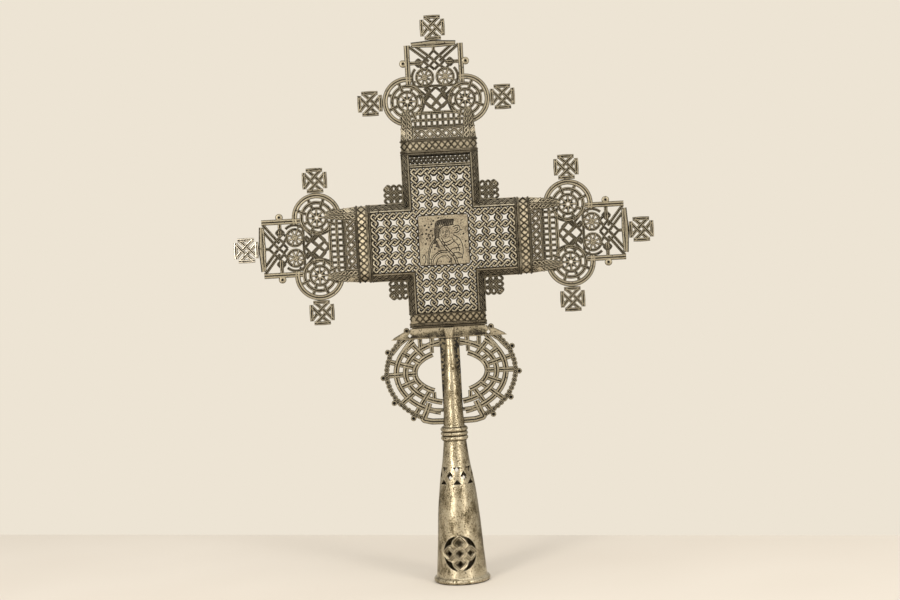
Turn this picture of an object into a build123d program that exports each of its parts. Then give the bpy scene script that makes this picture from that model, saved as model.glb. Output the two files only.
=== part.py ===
"""Processional cross: an openwork metal cross head on a pierced staff socket.

The head is a hollow body of two raised shells, front and back, closed by bevelled edge strips, with three
openwork terminals, four corner knots and a ring below it, all lying in the middle plane y = 0. A forked stem,
a knop and a conical socket carry it. Millimetres, +Z up, the front faces -Y. The origin is the centre of the
socket's mouth, in the plane that the foot stands on.
"""

import os
from math import cos, hypot, pi, radians, sin, sqrt

from build123d import *

os.makedirs("parts", exist_ok=True)

# Driving dimensions
centre_z = 315.0  # height of the cross's centre above the foot
bay = 5.9  # distance between neighbouring eyelets of the woven lattice
plate = 3.0  # thickness of the terminals, finials and corner knots
keel = 4.0  # thickness of the lower plate, the ring and the spine
sheet = 1.8  # thickness of the shells, measured front to back

# The hollow body: u across an arm, r outwards from the cross's centre, h forwards from the middle plane
plaque_half = 23.2
face_half = 28.0  # half width of an arm's front face
body_half = 35.3  # half width of an arm at its edges
rim_h = plate / 2
plaque_h = 15.0
face_h = 14.5  # height of the lattice where it meets the plaque
face_fall = 0.082  # how fast the lattice falls, outwards
band_long = 13.5
slope_long = 11.5
lattice_end = {"top": 78.5, "left": 66.0, "right": 66.0, "bottom": 66.0}
band_h_out = {"top": 8.0, "left": 8.5, "right": 8.5, "bottom": 4.2}
band_proud = 0.5
slope_pitch = 7.5  # between the diamond holes of a slope's woven row

# Lattice openings
eyelet = 1.05  # half diagonal of a small diamond hole
x_hole_long = 8.6
x_hole_wide = 1.35

# Terminals: u across, v outwards from the fold where the slope meets the flat
wheel_u, wheel_v, wheel_r = 26.5, 24.5, 22.8
head_half, head_low, head_high = 26.4, 40.0, 76.0
cap_half, cap_high, cap_rise = 21.0, 77.6, 1.6
stud_v, stud_r, stud_out = 59.0, 3.4, 2.2  # the studs stand this far outside the head's sides
finial_size = 23.0
finial_seat = 2.2  # half width of the flat that a finial stands on
wheel_seat = sqrt(wheel_r**2 - finial_seat**2)  # from a great wheel's centre to the finial on it

# Ring and lower plate, on the middle plane
ring_z = 193.5
ring_rows = [(33.5, 19.5), (42.0, 29.5), (50.5, 39.0)]  # half axes of the three ring bands' middle lines
ring_band = 4.8
chain_half_axes = (58.2, 48.0)
plate_low, plate_top, plate_half = 225.0, 235.5, 33.6

# Stem, knop, socket and foot
stem_top, stem_low, stem_tip_r, stem_r = 224.0, 137.0, 4.0, 10.4
knop_low, knop_high, knop_r = 130.5, 143.0, 12.3
socket_wall = 1.8
socket_profile = [(23.2, 6.0), (21.3, 30.0), (19.3, 60.0), (16.2, 90.0), (12.8, 110.0)]
foot_r, foot_high, mouth_r = 26.0, 6.0, 20.5
window_z, window_r = 28.5, 16.5
lozenges, lozenge_z = 7, 98.8

FRONT = Plane(origin=(0, 0, centre_z), x_dir=(1, 0, 0), z_dir=(0, -1, 0))
BACK = Plane(origin=(0, 0, centre_z), x_dir=(-1, 0, 0), z_dir=(0, 1, 0))
MIDDLE = Plane(origin=(0, 0, 0), x_dir=(1, 0, 0), z_dir=(0, -1, 0))
TURNS = {"top": 0, "left": 90, "bottom": 180, "right": -90}


def arm_frame(side, arm):
    """Frame of one arm on one side, with local x across, y outwards and z towards the viewer of that side."""
    face, sense = (FRONT, 1) if side == "front" else (BACK, -1)
    return face.location * Location((0, 0, 0), (0, 0, sense * TURNS[arm]))


def across(r):
    """Plane of an arm's cross-section at a distance r outwards: local x across, local y forwards."""
    return Plane(origin=(0, r, 0), x_dir=(1, 0, 0), z_dir=(0, -1, 0))


def face_height(r):
    """Height of the lattice's front surface at a distance r outwards."""
    return face_h - face_fall * (r - plaque_half)


def write(part, name):
    """Labels a finished piece and writes it as one STEP file."""
    part.label = name
    export_step(part, f"parts/{name}.step")


def weave_nodes(wide, long, crosses):
    """X-shaped voids and eyelets of a woven panel of wide by long half bays, about the panel's centre."""
    half = bay / 2
    voids = [(2 * half * i, 2 * half * j) for i, j in crosses]
    eyelets = []
    for m in range(-wide, wide + 1):
        for n in range(-long, long + 1):
            x, y = m * half, n * half
            corner = abs(m) == wide and abs(n) == long
            in_void = any(hypot(x - a, y - b) < 1.5 * bay / sqrt(2) for a, b in voids)
            if (m + n) % 2 == 0 and not corner and not in_void:
                inset = 0.8 * eyelet
                x -= inset * (m == wide) - inset * (m == -wide)
                y -= inset * (n == long) - inset * (n == -long)
                eyelets.append((x, y))
    return voids, eyelets


# ---------------------------------------------------------------- the hollow body, in the arm's frame
def lattice_panel(arm):
    """Woven panel between the plaque and a band, with its inner corners cut along the creases."""
    end = lattice_end[arm]
    middle = 24.0 + 3.5 * bay
    voids, eyelets = weave_nodes(9, 7, [(i, j) for i in (-3, -1, 1, 3) for j in (-2, 0, 2)])
    with BuildPart() as lattice:
        tilt = Plane(origin=(0, plaque_half, face_h), x_dir=(1, 0, 0), z_dir=(0, face_fall, 1))
        with BuildSketch(tilt):
            with BuildLine():
                stretch = hypot(1, face_fall)
                crease = face_half - plaque_half
                right = [(plaque_half, 0), (face_half, crease), (face_half, end - plaque_half)]
                outline = [*right, *[(-u, r) for u, r in reversed(right)]]
                Polyline(*[(u, r * stretch) for u, r in outline], close=True)
            make_face()
            with Locations(*[(x, middle - plaque_half + y) for x, y in voids]):
                Rectangle(x_hole_long, x_hole_wide, rotation=45, mode=Mode.SUBTRACT)
                Rectangle(x_hole_long, x_hole_wide, rotation=-45, mode=Mode.SUBTRACT)
            with Locations(*[(x, middle - plaque_half + y) for x, y in eyelets]):
                Rectangle(sqrt(2) * eyelet, sqrt(2) * eyelet, rotation=45, mode=Mode.SUBTRACT)
            if arm == "top":
                zigzag_low, zigzag_high, zigzag_step = 71.5, 75.5, 8.5
                for k in range(-3, 4):
                    tooth = [(-2.1, -1.6), (2.1, -1.6), (0, 1.6)]
                    with Locations((k * zigzag_step, zigzag_low - plaque_half)):
                        Polygon(*tooth, align=None, mode=Mode.SUBTRACT)
                    if k < 3:
                        with Locations(((k + 0.5) * zigzag_step, zigzag_high - plaque_half)):
                            Polygon(*tooth, rotation=180, align=None, mode=Mode.SUBTRACT)
        extrude(amount=sheet, dir=(0, 0, -1))
    return lattice.part


def edge_strips(arm):
    """The two bevelled strips that close an arm's sides, mitred at their inner ends."""
    end = lattice_end[arm]

    def profile(stretch, height):
        skirt = [(body_half, rim_h), (body_half, 0), (body_half - 2.2, 0), (face_half, height - 3.2)]
        return [(stretch * u, h) for u, h in [(face_half, height), *skirt]]

    with BuildPart() as strips:
        mitre = Plane(origin=(0, 0, 0), x_dir=(1, 1, 0), z_dir=(1, -1, 0))
        with BuildSketch(mitre):
            Polygon(*profile(sqrt(2), face_height(face_half)), align=None)
        with BuildSketch(across(end)):
            Polygon(*profile(1, face_height(end)), align=None)
        loft(ruled=True)
        mirror(about=Plane.YZ)
    return strips.part


def band_arch(height, half_wide, top_half, wall):
    """Section of a strap that arches over an arm: its outside from edge to edge, then its inside."""
    outer = [(half_wide, 0), (half_wide, rim_h), (top_half, height)]
    inner = [(top_half - 0.6, height - wall), (half_wide - 2.0, 0)]
    return [*outer, *[(-u, h) for u, h in reversed(outer)], *[(-u, h) for u, h in reversed(inner)], *inner]


def band(arm):
    """Strap with a cross-hatched field that covers the joint where an arm ends."""
    start = lattice_end[arm]
    low_h = face_height(start) + band_proud
    with BuildPart() as strap:
        with BuildSketch(across(start)):
            Polygon(*band_arch(low_h, body_half, face_half + 0.3, 2.2), align=None)
        with BuildSketch(across(start + band_long)):
            Polygon(*band_arch(band_h_out[arm], body_half, face_half + 0.3, 2.2), align=None)
        loft(ruled=True)
    return strap.part


def slope(arm):
    """Shell that falls from a band to the flat terminal, with a woven row across it and plaited sides."""
    start = lattice_end[arm] + band_long
    end = start + slope_long
    high = band_h_out[arm] - 0.6
    with BuildPart() as shell:
        with BuildSketch(across(start)):
            Polygon(*hip(body_half, 29.5, high, rim_h), align=None)
        with BuildSketch(across(end)):
            Polygon(*hip(33.8, 27.5, rim_h + 0.1, rim_h), align=None)
        loft(ruled=True)
        with BuildSketch(across(start - 0.1)):
            Polygon(*hip(body_half - 2.0, 28.2, high - 1.7, -1), align=None)
        with BuildSketch(across(end - 1.5)):
            Polygon(*hip(28.2, 26.5, rim_h - 1.0, -1), align=None)
        loft(ruled=True, mode=Mode.SUBTRACT)
        with BuildSketch(Plane.XY):
            middle = start + 0.5 * slope_long
            with Locations((0, middle)):
                with GridLocations(slope_pitch, 1, 6, 1):
                    Rectangle(2.4, 2.4, rotation=45, mode=Mode.ADD)
                for n in (-1, 1):
                    with Locations((0, n * 0.5 * bay)):
                        with GridLocations(slope_pitch, 1, 5, 1):
                            Rectangle(1.6, 1.6, rotation=45, mode=Mode.ADD)
        extrude(amount=plaque_h, mode=Mode.SUBTRACT)
    return shell.part


def hip(half_wide, top_half, height, skirt):
    """Section of a solid with bevelled sides, from the middle plane, or below it, up to its flat top."""
    low = min(skirt, 0)
    sides = [(half_wide, low), (half_wide, max(skirt, low + 0.01)), (top_half, height)]
    return [*sides, *[(-u, h) for u, h in reversed(sides)]]


def plaque():
    """Engraved square plate at the crossing, standing a little proud of the lattice."""
    with BuildPart() as square:
        with BuildSketch(Plane.XY.offset(plaque_h - 2.4)):
            RectangleRounded(2 * plaque_half, 2 * plaque_half, 2.5)
        extrude(amount=2.4)
        chamfer(square.faces().sort_by(Axis.Z)[-1].edges(), 0.4)
    return square.part


# ---------------------------------------------------------------- openwork in the middle plane
def finial():
    """Small cross with four flared, pierced arms. Its foot arm points along -y and ends at y = -size / 2."""
    half = finial_size / 2
    with BuildPart() as cross:
        with BuildSketch(Plane.XY.offset(-plate / 2)):
            for turn in (0, 90, 180, 270):
                with Locations(Location((0, 0, 0), (0, 0, turn))):
                    flare = [(1.9, 1.9), (0.66 * half, half - 0.8), (finial_seat, half)]
                    Polygon((0, 0), *flare, *[(-u, v) for u, v in reversed(flare)], align=None)
                    Polygon((0, 4.3), (3.6, half - 2.9), (-3.6, half - 2.9), align=None, mode=Mode.SUBTRACT)
            Rectangle(1.9, 1.9, rotation=45, mode=Mode.SUBTRACT)
        extrude(amount=plate)
    return cross.part


def wheel_slots(count, inner, outer, open_angle, first):
    """Curved slots of a wheel as closed outlines, each between two radii and two angles, about the origin."""
    slots = []
    for k in range(count):
        a = radians(first + 360 / count * k - open_angle / 2)
        b = a + radians(open_angle)
        steps = [a + (b - a) * s / 3 for s in range(4)]
        ring = [(outer * cos(t), outer * sin(t)) for t in steps]
        back = [(inner * cos(t), inner * sin(t)) for t in reversed(steps)]
        slots.append([*ring, *back])
    return slots


def terminal():
    """Openwork plate at the end of an arm: two great wheels, two small ones and a head with a cap."""
    with BuildPart() as lace:
        with BuildSketch(Plane.XY.offset(-plate / 2)):
            Polygon((-33.8, 0), (33.8, 0), (wheel_u, wheel_v), (-wheel_u, wheel_v), align=None)
            with Locations((-wheel_u, wheel_v), (wheel_u, wheel_v)):
                Circle(wheel_r)
            with Locations((0, 25)):
                Rectangle(36, 50)
            head = [(head_half, head_low), (head_half - 0.8, head_high)]
            Polygon(*head, *[(-u, v) for u, v in reversed(head)], align=None)
            cap = [(cap_half - 4, head_high - 4), (cap_half, cap_high), (finial_seat, cap_high + cap_rise)]
            Polygon(*cap, *[(-u, v) for u, v in reversed(cap)], align=None)
            for s in (-1, 1):
                with Locations((s * (head_half + stud_out), stud_v)):
                    Circle(stud_r)
                    Circle(0.9, mode=Mode.SUBTRACT)
                notch_tip = (19.0, head_high - 5)
                notch = [(head_half + 1, head_high + 0.6), notch_tip, (cap_half + 0.3, head_high + 1.2)]
                Polygon(*[(s * u, v) for u, v in notch], align=None, mode=Mode.SUBTRACT)
                with Locations((s * (wheel_u + wheel_seat + 1), wheel_v)):
                    Rectangle(2, 3 * finial_seat, mode=Mode.SUBTRACT)
                centre = (s * wheel_u, wheel_v)
                with Locations(centre):
                    rows = [(8, 14.9, 18.4, 34, 0), (8, 9.7, 11.9, 31, 0), (8, 3.0, 5.4, 20, 0)]
                    for count, inner, outer, angle, first in rows:
                        for slot in wheel_slots(count, inner, outer, angle, first):
                            Polygon(*slot, align=None, mode=Mode.SUBTRACT)
                    Circle(0.9, mode=Mode.SUBTRACT)
                with Locations((s * 9.4, 45.6)):
                    for slot in wheel_slots(8, 2.6, 6.0, 20, 0):
                        Polygon(*slot, align=None, mode=Mode.SUBTRACT)
                    Circle(0.8, mode=Mode.SUBTRACT)
                # windows of the head: beside the side bar, below the cap, and the two slots of a corner
                side_low = [(20.6, 48.5), (20.6, 56.6), (14.5, 56.6), (18.0, 52.0)]
                side_high = [(20.6, 61.5), (20.6, 69.0), (13.5, 61.5)]
                top = [(2.2, 75.6), (11.0, 75.6), (4.0, 71.5), (2.2, 72.0)]
                long_slot = [(17.4, 73.0), (8.6, 65.0), (7.6, 66.0), (16.2, 74.0)]
                for window in (side_low, side_high, top, long_slot):
                    Polygon(*[(s * u, v) for u, v in window], align=None, mode=Mode.SUBTRACT)
                # windows between the great wheels
                for window in (
                    [(1.0, 16.5), (9.5, 16.5), (5.0, 20.0)],
                    [(2.6, 31.0), (5.0, 28.6), (7.6, 31.0), (7.6, 34.0)],
                    [(3.0, 36.4), (12.0, 36.4), (8.5, 38.2)],
                ):
                    Polygon(*[(s * u, v) for u, v in window], align=None, mode=Mode.SUBTRACT)
            heart = [(4.2, 58.2), (2.6, 59.4), (0, 57.2)]
            heart_outline = [(0, 54.0), *heart, *[(-u, v) for u, v in reversed(heart[:-1])]]
            Polygon(*heart_outline, align=None, mode=Mode.SUBTRACT)
            low_row = [(u, 24.5) for u in (-6.4, -2.2, 2.2, 6.4)]
            high_row = [(u, 62.2) for u in (-7.4, -2.6, 2.6, 7.4)]
            with Locations(*low_row, *high_row, (0, 67.5)):
                Rectangle(1.9, 1.9, rotation=45, mode=Mode.SUBTRACT)
            for row, count in ((3.6, 8), (9.8, 6)):
                with Locations((0, row)):
                    with GridLocations(5.1, 1, count, 1):
                        Rectangle(2.5, 3.0, mode=Mode.SUBTRACT)
        extrude(amount=plate)
    return lace.part


def corner_knot():
    """Small woven knot in the corner between two arms, in the first quadrant."""
    reach = body_half + 16.4
    with BuildPart() as knot:
        with BuildSketch(Plane.XY.offset(-plate / 2)):
            corners = [(body_half, body_half), (reach, body_half), (reach, reach), (body_half, reach)]
            Polygon(*corners, align=None)
            fillet(vertices().sort_by(lambda v: v.X + v.Y)[1:], 2.2)
            rows = [body_half + step for step in (2.9, 8.2, 13.3)]
            with Locations(*[(x, y) for x in rows for y in rows]):
                Rectangle(1.8, 1.8, rotation=45, mode=Mode.SUBTRACT)
            with Locations((body_half + 5.6, reach), (body_half + 10.8, reach)):
                Rectangle(1.3, 4.4, mode=Mode.SUBTRACT)
            with Locations((reach, body_half + 5.6), (reach, body_half + 10.8)):
                Rectangle(4.4, 1.3, mode=Mode.SUBTRACT)
        extrude(amount=plate)
    return knot.part


def ellipse_slots(inner, outer, first, last, count, share):
    """Slots of a row of the ring: outlines between two ellipses, spread over a range of their angle."""
    step = (last - first) / (count - 1)
    slots = []
    for k in range(count):
        middle = first + step * k
        angles = [radians(middle + step * share * (s / 3 - 0.5)) for s in range(4)]
        out = [(outer[0] * cos(t), outer[1] * sin(t)) for t in angles]
        back = [(inner[0] * cos(t), inner[1] * sin(t)) for t in reversed(angles)]
        slots.append([*out, *back])
    return slots


def grow(axes, by):
    """Half axes of an ellipse moved outwards by a distance."""
    return axes[0] + by, axes[1] + by


def ring_half():
    """Right half of the openwork ring, from the spine outwards, in the middle plane."""
    half_band = ring_band / 2
    with BuildPart() as ring:
        with BuildSketch(MIDDLE.offset(-keel / 2)):
            with Locations((0, ring_z)):
                Ellipse(*grow(chain_half_axes, 2.6))
                Ellipse(*grow(ring_rows[0], -half_band), mode=Mode.SUBTRACT)
                rows = [(0, 1, -43, 46, 7, 0.66), (1, 2, -63, 53, 8, 0.66)]
                for low, high, first, last, count, share in rows:
                    inner = grow(ring_rows[low], half_band)
                    outer = grow(ring_rows[high], -half_band)
                    for slot in ellipse_slots(inner, outer, first, last, count, share):
                        Polygon(*slot, align=None, mode=Mode.SUBTRACT)
                inner, outer = grow(ring_rows[2], half_band), grow(chain_half_axes, -1.6)
                for slot in ellipse_slots(inner, outer, -64, 27, 6, 0.66):
                    Polygon(*slot, align=None, mode=Mode.SUBTRACT)
            # the end of the inner ring stands clear of the spine
            with Locations((11.5, ring_z)):
                Rectangle(4.8, 50.0, mode=Mode.SUBTRACT)
            # nothing stays behind the stem, nor above the lower plate's edge
            with Locations((0, ring_z)):
                Rectangle(18.0, 200.0, mode=Mode.SUBTRACT)
            with Locations((-100, ring_z)):
                Rectangle(200, 200, mode=Mode.SUBTRACT)
            with Locations((50, plate_low + 20)):
                Rectangle(100, 40, mode=Mode.SUBTRACT)
            Polygon((9, 144.5), (20, 144.8), (30.5, 147.6), (31.5, 151), (40, 158), (9, 156), align=None)
            with Locations((16.5, 154.0), (17.0, 162.3)):
                Rectangle(7.5, 3.4, mode=Mode.SUBTRACT)
            Polygon((0, 100), (100, 100), (100, 144.5), (0, 144.5), align=None, mode=Mode.SUBTRACT)
            for angle in (25, -3, -31, -54):
                with Locations((62.6 * cos(radians(angle)), ring_z + 51.0 * sin(radians(angle)))):
                    Circle(2.7)
        extrude(amount=keel)
    return ring.part


def spine():
    """Flat bar in the middle plane that the stem's fork holds."""
    with BuildPart() as flat:
        with BuildSketch(MIDDLE.offset(-keel / 2)):
            Polygon((-9.0, 144.5), (9.0, 144.5), (9.0, plate_low), (-9.0, plate_low), align=None)
        extrude(amount=keel)
    return flat.part


def lower_plate():
    """Solid plate below the body, with a pierced wing and a stud on each side, and a tongue into the body."""
    with BuildPart() as flat:
        with BuildSketch(MIDDLE.offset(-keel / 2)):
            wing = [(53.6, plate_low), (41.5, 232.4), (plate_half + 2.4, 231.0), (plate_half, plate_top)]
            Polygon((0, plate_low), *wing, (0, plate_top), align=None)
            with Locations((13, plate_top + 3.5)):
                Rectangle(26, 7.2)
            with Locations((38.9, 233.4)):
                Circle(2.7)
            with Locations((36.4, 228.4)):
                Rectangle(2.6, 2.6, rotation=45, mode=Mode.SUBTRACT)
            mirror(about=Plane.YZ)
        extrude(amount=keel)
    return flat.part


# ---------------------------------------------------------------- stem, socket and foot
def stem():
    """Tapered stem, forked over the spine, that stands in the knop on the socket's neck."""
    with BuildPart() as fork:
        with BuildSketch(Plane.XZ):
            foot = [(0, stem_low), (stem_r, stem_low), (stem_r, knop_high)]
            Polygon(*foot, (stem_r - 0.6, knop_high + 1), (stem_tip_r, stem_top), (0, stem_top), align=None)
        revolve(axis=Axis.Z)
        with BuildSketch(Plane.XY.offset(144.5)):
            Rectangle(40, keel)
        extrude(amount=100, mode=Mode.SUBTRACT)
    return fork.part


def keystone():
    """Faceted boss that covers the tip of the stem, on the lower plate's front."""
    sections = [(0, plate_top, 5.6, stem_top, 3.6), (3.2, 233.0, 3.0, 225.5, 1.8)]
    with BuildPart() as boss:
        for lift, high, top_half, low, low_half in sections:
            with BuildSketch(MIDDLE.offset(keel / 2 + lift)):
                Polygon((-top_half, high), (top_half, high), (low_half, low), (-low_half, low), align=None)
        loft(ruled=True)
    return boss.part


def knop():
    """Collar of three rolled rings over the joint of stem and socket."""
    high = knop_high - knop_low
    with BuildPart() as rings:
        with BuildSketch(Plane.XZ):
            with Locations((stem_r + 0.9, knop_low + high / 2)):
                Rectangle(1.7, high)
            for share, size in ((0.18, 1.9), (0.5, 1.5), (0.82, 1.9)):
                with Locations((knop_r - size + 0.4, knop_low + share * high)):
                    Circle(size)
            core = [(0, knop_low - 9), (stem_r, knop_low - 9), (stem_r, knop_high + 9), (0, knop_high + 9)]
            Polygon(*core, align=None, mode=Mode.SUBTRACT)
        revolve(axis=Axis.Z)
    return rings.part


def socket():
    """Conical sheet-metal socket, pierced by a row of lozenges and by a round knotwork window each side."""
    neck = [(stem_r, knop_low), (stem_r, stem_low)]
    with BuildPart() as tube:
        with BuildSketch(Plane.XZ):
            with BuildLine():
                outside = Spline(*socket_profile, neck[0])
                lining = [(r - socket_wall, z) for r, z in [*socket_profile, *neck]]
                Polyline(*neck, *reversed(lining[-2:]))
                inside = Spline(*reversed(lining[:-1]))
                Line(inside @ 1, outside @ 0)
            make_face()
        revolve(axis=Axis.Z)
        with BuildSketch(MIDDLE):
            with Locations((0, window_z)):
                Circle(window_r)
                with Locations(*[(10.0 * cos(t * pi / 2), 10.0 * sin(t * pi / 2)) for t in range(4)]):
                    Rectangle(10.6, 10.6, rotation=45, mode=Mode.SUBTRACT)
                with Locations((0, 0), *[(10.0 * cos(t * pi / 2), 10.0 * sin(t * pi / 2)) for t in range(4)]):
                    Rectangle(3.4, 3.4, rotation=45, mode=Mode.ADD)
        extrude(amount=40, mode=Mode.SUBTRACT)
        for k in range(lozenges):
            for lift, turn, shape in (
                (0, 0.5, [(0, -4.4), (3.2, 0), (0, 4.4), (-3.2, 0)]),
                (6.4, 0, [(0, -3.2), (3.9, 1.4), (-3.9, 1.4)]),
                (-6.4, 0, [(0, 3.2), (-4.2, -1.5), (4.2, -1.5)]),
            ):
                turned = Location((0, 0, lozenge_z + lift), (0, 0, 360 / lozenges * (k + turn)))
                with BuildSketch(Plane(turned * MIDDLE.location)):
                    Polygon(*shape, align=None)
                extrude(amount=30, mode=Mode.SUBTRACT)
    return tube.part


def foot_rim():
    """Rolled rim that the socket stands on, with the staff's mouth through it."""
    with BuildPart() as rim:
        Cylinder(foot_r, foot_high, align=(Align.CENTER, Align.CENTER, Align.MIN))
        fillet(rim.edges().filter_by(GeomType.CIRCLE).sort_by(Axis.Z)[-1:], 2.4)
        Hole(mouth_r)
    return rim.part


# ---------------------------------------------------------------- the assembly
for arm in TURNS:
    body_parts = {"lattice": lattice_panel(arm), "edge_strips": edge_strips(arm), "band": band(arm)}
    if arm != "bottom":
        body_parts["slope"] = slope(arm)
    for side in ("front", "back"):
        for kind, part in body_parts.items():
            write(part.moved(arm_frame(side, arm)), f"{kind}_{arm}_{side}")

for side in ("front", "back"):
    write(plaque().moved(arm_frame(side, "top")), f"plaque_{side}")

lace_part = terminal()
finial_part = finial()
for arm in ("top", "left", "right"):
    frame = arm_frame("front", arm)
    fold = lattice_end[arm] + band_long + slope_long
    write(lace_part.moved(frame * Location((0, fold, 0))), f"terminal_{arm}")
    end_reach = fold + cap_high + cap_rise + finial_size / 2
    write(finial_part.moved(frame * Location((0, end_reach, 0))), f"finial_{arm}_end")
    for which, s in (("first", 1), ("second", -1)):
        stand = Location((s * (wheel_u + wheel_seat + finial_size / 2), fold + wheel_v, 0), (0, 0, -90 * s))
        write(finial_part.moved(frame * stand), f"finial_{arm}_{which}")

knot_part = corner_knot()
for k, name in enumerate(("upper_right", "upper_left", "lower_left", "lower_right")):
    write(knot_part.moved(FRONT.location * Location((0, 0, 0), (0, 0, 90 * k))), f"corner_knot_{name}")

right_ring = ring_half()
write(right_ring, "ring_right")
write(right_ring.mirror(Plane.YZ), "ring_left")
write(spine(), "spine")
write(lower_plate(), "lower_plate")
write(stem(), "stem")
boss_part = keystone()
write(boss_part, "keystone_front")
write(boss_part.mirror(Plane.XZ), "keystone_back")
write(knop(), "knop")
write(socket(), "socket")
write(foot_rim(), "foot_rim")
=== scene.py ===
"""Processional cross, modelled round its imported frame.

The head is a hollow body of woven metal strands with a figured plate at the crossing, three openwork
terminals with nine small crosses, four corner knots, and a beaded ring below. A tapered stem, a knop and a
pierced conical socket carry it. Sizes in the classes are millimetres, and meshes are metres. +Z is up and
the front faces -Y.
"""

from __future__ import annotations

import logging
from collections.abc import Callable, Sequence
from dataclasses import dataclass, field
from enum import Enum
from math import cos, hypot, pi, radians, sin, sqrt, tau

import bpy
import numpy as np
from mathutils import Matrix, Vector, noise

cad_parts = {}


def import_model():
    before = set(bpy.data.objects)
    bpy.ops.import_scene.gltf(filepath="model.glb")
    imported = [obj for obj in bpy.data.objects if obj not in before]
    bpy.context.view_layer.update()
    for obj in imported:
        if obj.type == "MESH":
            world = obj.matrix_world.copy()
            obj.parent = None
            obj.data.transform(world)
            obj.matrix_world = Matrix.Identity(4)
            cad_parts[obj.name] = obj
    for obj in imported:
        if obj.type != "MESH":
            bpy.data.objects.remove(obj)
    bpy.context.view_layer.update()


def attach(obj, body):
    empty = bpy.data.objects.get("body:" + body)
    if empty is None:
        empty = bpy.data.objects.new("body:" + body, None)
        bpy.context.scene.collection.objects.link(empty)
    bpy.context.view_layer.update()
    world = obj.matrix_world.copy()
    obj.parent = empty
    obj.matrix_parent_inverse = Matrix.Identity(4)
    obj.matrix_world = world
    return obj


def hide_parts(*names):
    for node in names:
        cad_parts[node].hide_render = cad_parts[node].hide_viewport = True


log = logging.getLogger("cross")

MM = 0.001
Point = tuple[float, float]
Path = list[Point]
Mesh = bpy.types.Object


# ---------------------------------------------------------------- places
class Side(Enum):
    """The two faces of the cross, each with its own right-hand and outward directions."""

    FRONT = 1
    BACK = -1

    @property
    def word(self) -> str:
        """Word that names this side's pieces."""
        return self.name.lower()


class Arm(Enum):
    """The four arms, by their turn in degrees from upright, seen from the front."""

    TOP = 0
    LEFT = 90
    BOTTOM = 180
    RIGHT = -90

    @property
    def word(self) -> str:
        """Word that names this arm's pieces."""
        return self.name.lower()


def facing(side: Side, height: float = 0.0) -> Matrix:
    """Frame that looks at one side of the cross.

    Args:
        side: the side that the frame's z axis points out of.
        height: height of the frame's origin above the foot, in millimetres.

    Returns:
        A matrix whose x axis is to the right of a viewer of that side and whose y axis is up.
    """
    right = Vector((side.value, 0, 0))
    up = Vector((0, 0, 1))
    turn = Matrix((right, up, right.cross(up))).transposed().to_4x4()
    return Matrix.Translation((0, 0, height * MM)) @ turn


def arm_frame(side: Side, arm: Arm, height: float) -> Matrix:
    """Frame of an arm: x across it, y outwards along it, z out of the side that is looked at."""
    return facing(side, height) @ Matrix.Rotation(radians(side.value * arm.value), 4, "Z")


# ---------------------------------------------------------------- flat lines
def arc(centre: Point, radii: float | Point, first: float, last: float, steps: int = 48) -> Path:
    """Points of a circle's or an ellipse's arc.

    Args:
        centre: middle of the arc.
        radii: one radius, or the two half axes of an ellipse.
        first: starting angle in degrees.
        last: ending angle in degrees.
        steps: how many straight steps a full turn would have.

    Returns:
        The points from first to last, both included.
    """
    across, up = (radii, radii) if isinstance(radii, (int, float)) else radii
    count = max(2, round(abs(last - first) / 360 * steps))
    angles = [radians(first + (last - first) * k / count) for k in range(count + 1)]
    return [(centre[0] + across * cos(t), centre[1] + up * sin(t)) for t in angles]


def circle(centre: Point, radius: float, steps: int = 48) -> Path:
    """Points once round a circle, without a repeated end."""
    return arc(centre, radius, 0, 360, steps)[:-1]


def diamond(centre: Point, half: float) -> Path:
    """Corners of a square that stands on a corner."""
    x, y = centre
    return [(x + half, y), (x, y + half), (x - half, y), (x, y - half)]


def mirrored(path: Path) -> Path:
    """The same path on the other side of x = 0."""
    return [(-x, y) for x, y in path]


def swung(path: Path, turn: float) -> Path:
    """The same path turned about the origin by an angle in degrees."""
    c, s = cos(radians(turn)), sin(radians(turn))
    return [(c * x - s * y, s * x + c * y) for x, y in path]


def shift(across: float, up: float) -> Matrix:
    """Move in the plane of a piece, by distances in millimetres."""
    return Matrix.Translation((across * MM, up * MM, 0))


def rounded(path: Sequence[Point], bend: float, closed: bool) -> np.ndarray:
    """Replaces each corner of a path with a short curve.

    Args:
        path: the corners.
        bend: how far from a corner its curve starts, at most.
        closed: whether the last point joins the first.

    Returns:
        The points of the softened path, one row each.
    """
    points = np.array(path, float)
    count = len(points)
    soft: list[np.ndarray] = []
    for k in range(count):
        here = points[k]
        if not closed and k in (0, count - 1):
            soft.append(here)
            continue
        before, after = points[k - 1] - here, points[(k + 1) % count] - here
        gap_before, gap_after = np.linalg.norm(before), np.linalg.norm(after)
        cut = min(bend, 0.45 * gap_before, 0.45 * gap_after)
        start, end = here + before / gap_before * cut, here + after / gap_after * cut
        soft += [(1 - t) ** 2 * start + 2 * t * (1 - t) * here + t * t * end for t in (0, 0.33, 0.67, 1)]
    return np.array(soft)


def spaced(points: np.ndarray, step: float, closed: bool) -> tuple[np.ndarray, np.ndarray]:
    """Walks a line in even steps.

    Args:
        points: the line.
        step: the wanted distance between neighbouring points.
        closed: whether the last point joins the first.

    Returns:
        The new points, and each one's distance from the start.
    """
    line = np.vstack([points, points[:1]]) if closed else points
    reach = np.concatenate([[0], np.cumsum(np.linalg.norm(np.diff(line, axis=0), axis=1))])
    count = max(3, round(reach[-1] / step))
    walk = np.linspace(0, reach[-1], count + 1)
    even = np.stack([np.interp(walk, reach, line[:, k]) for k in (0, 1)], axis=1)
    return (even[:-1], walk[:-1]) if closed else (even, walk)


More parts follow.
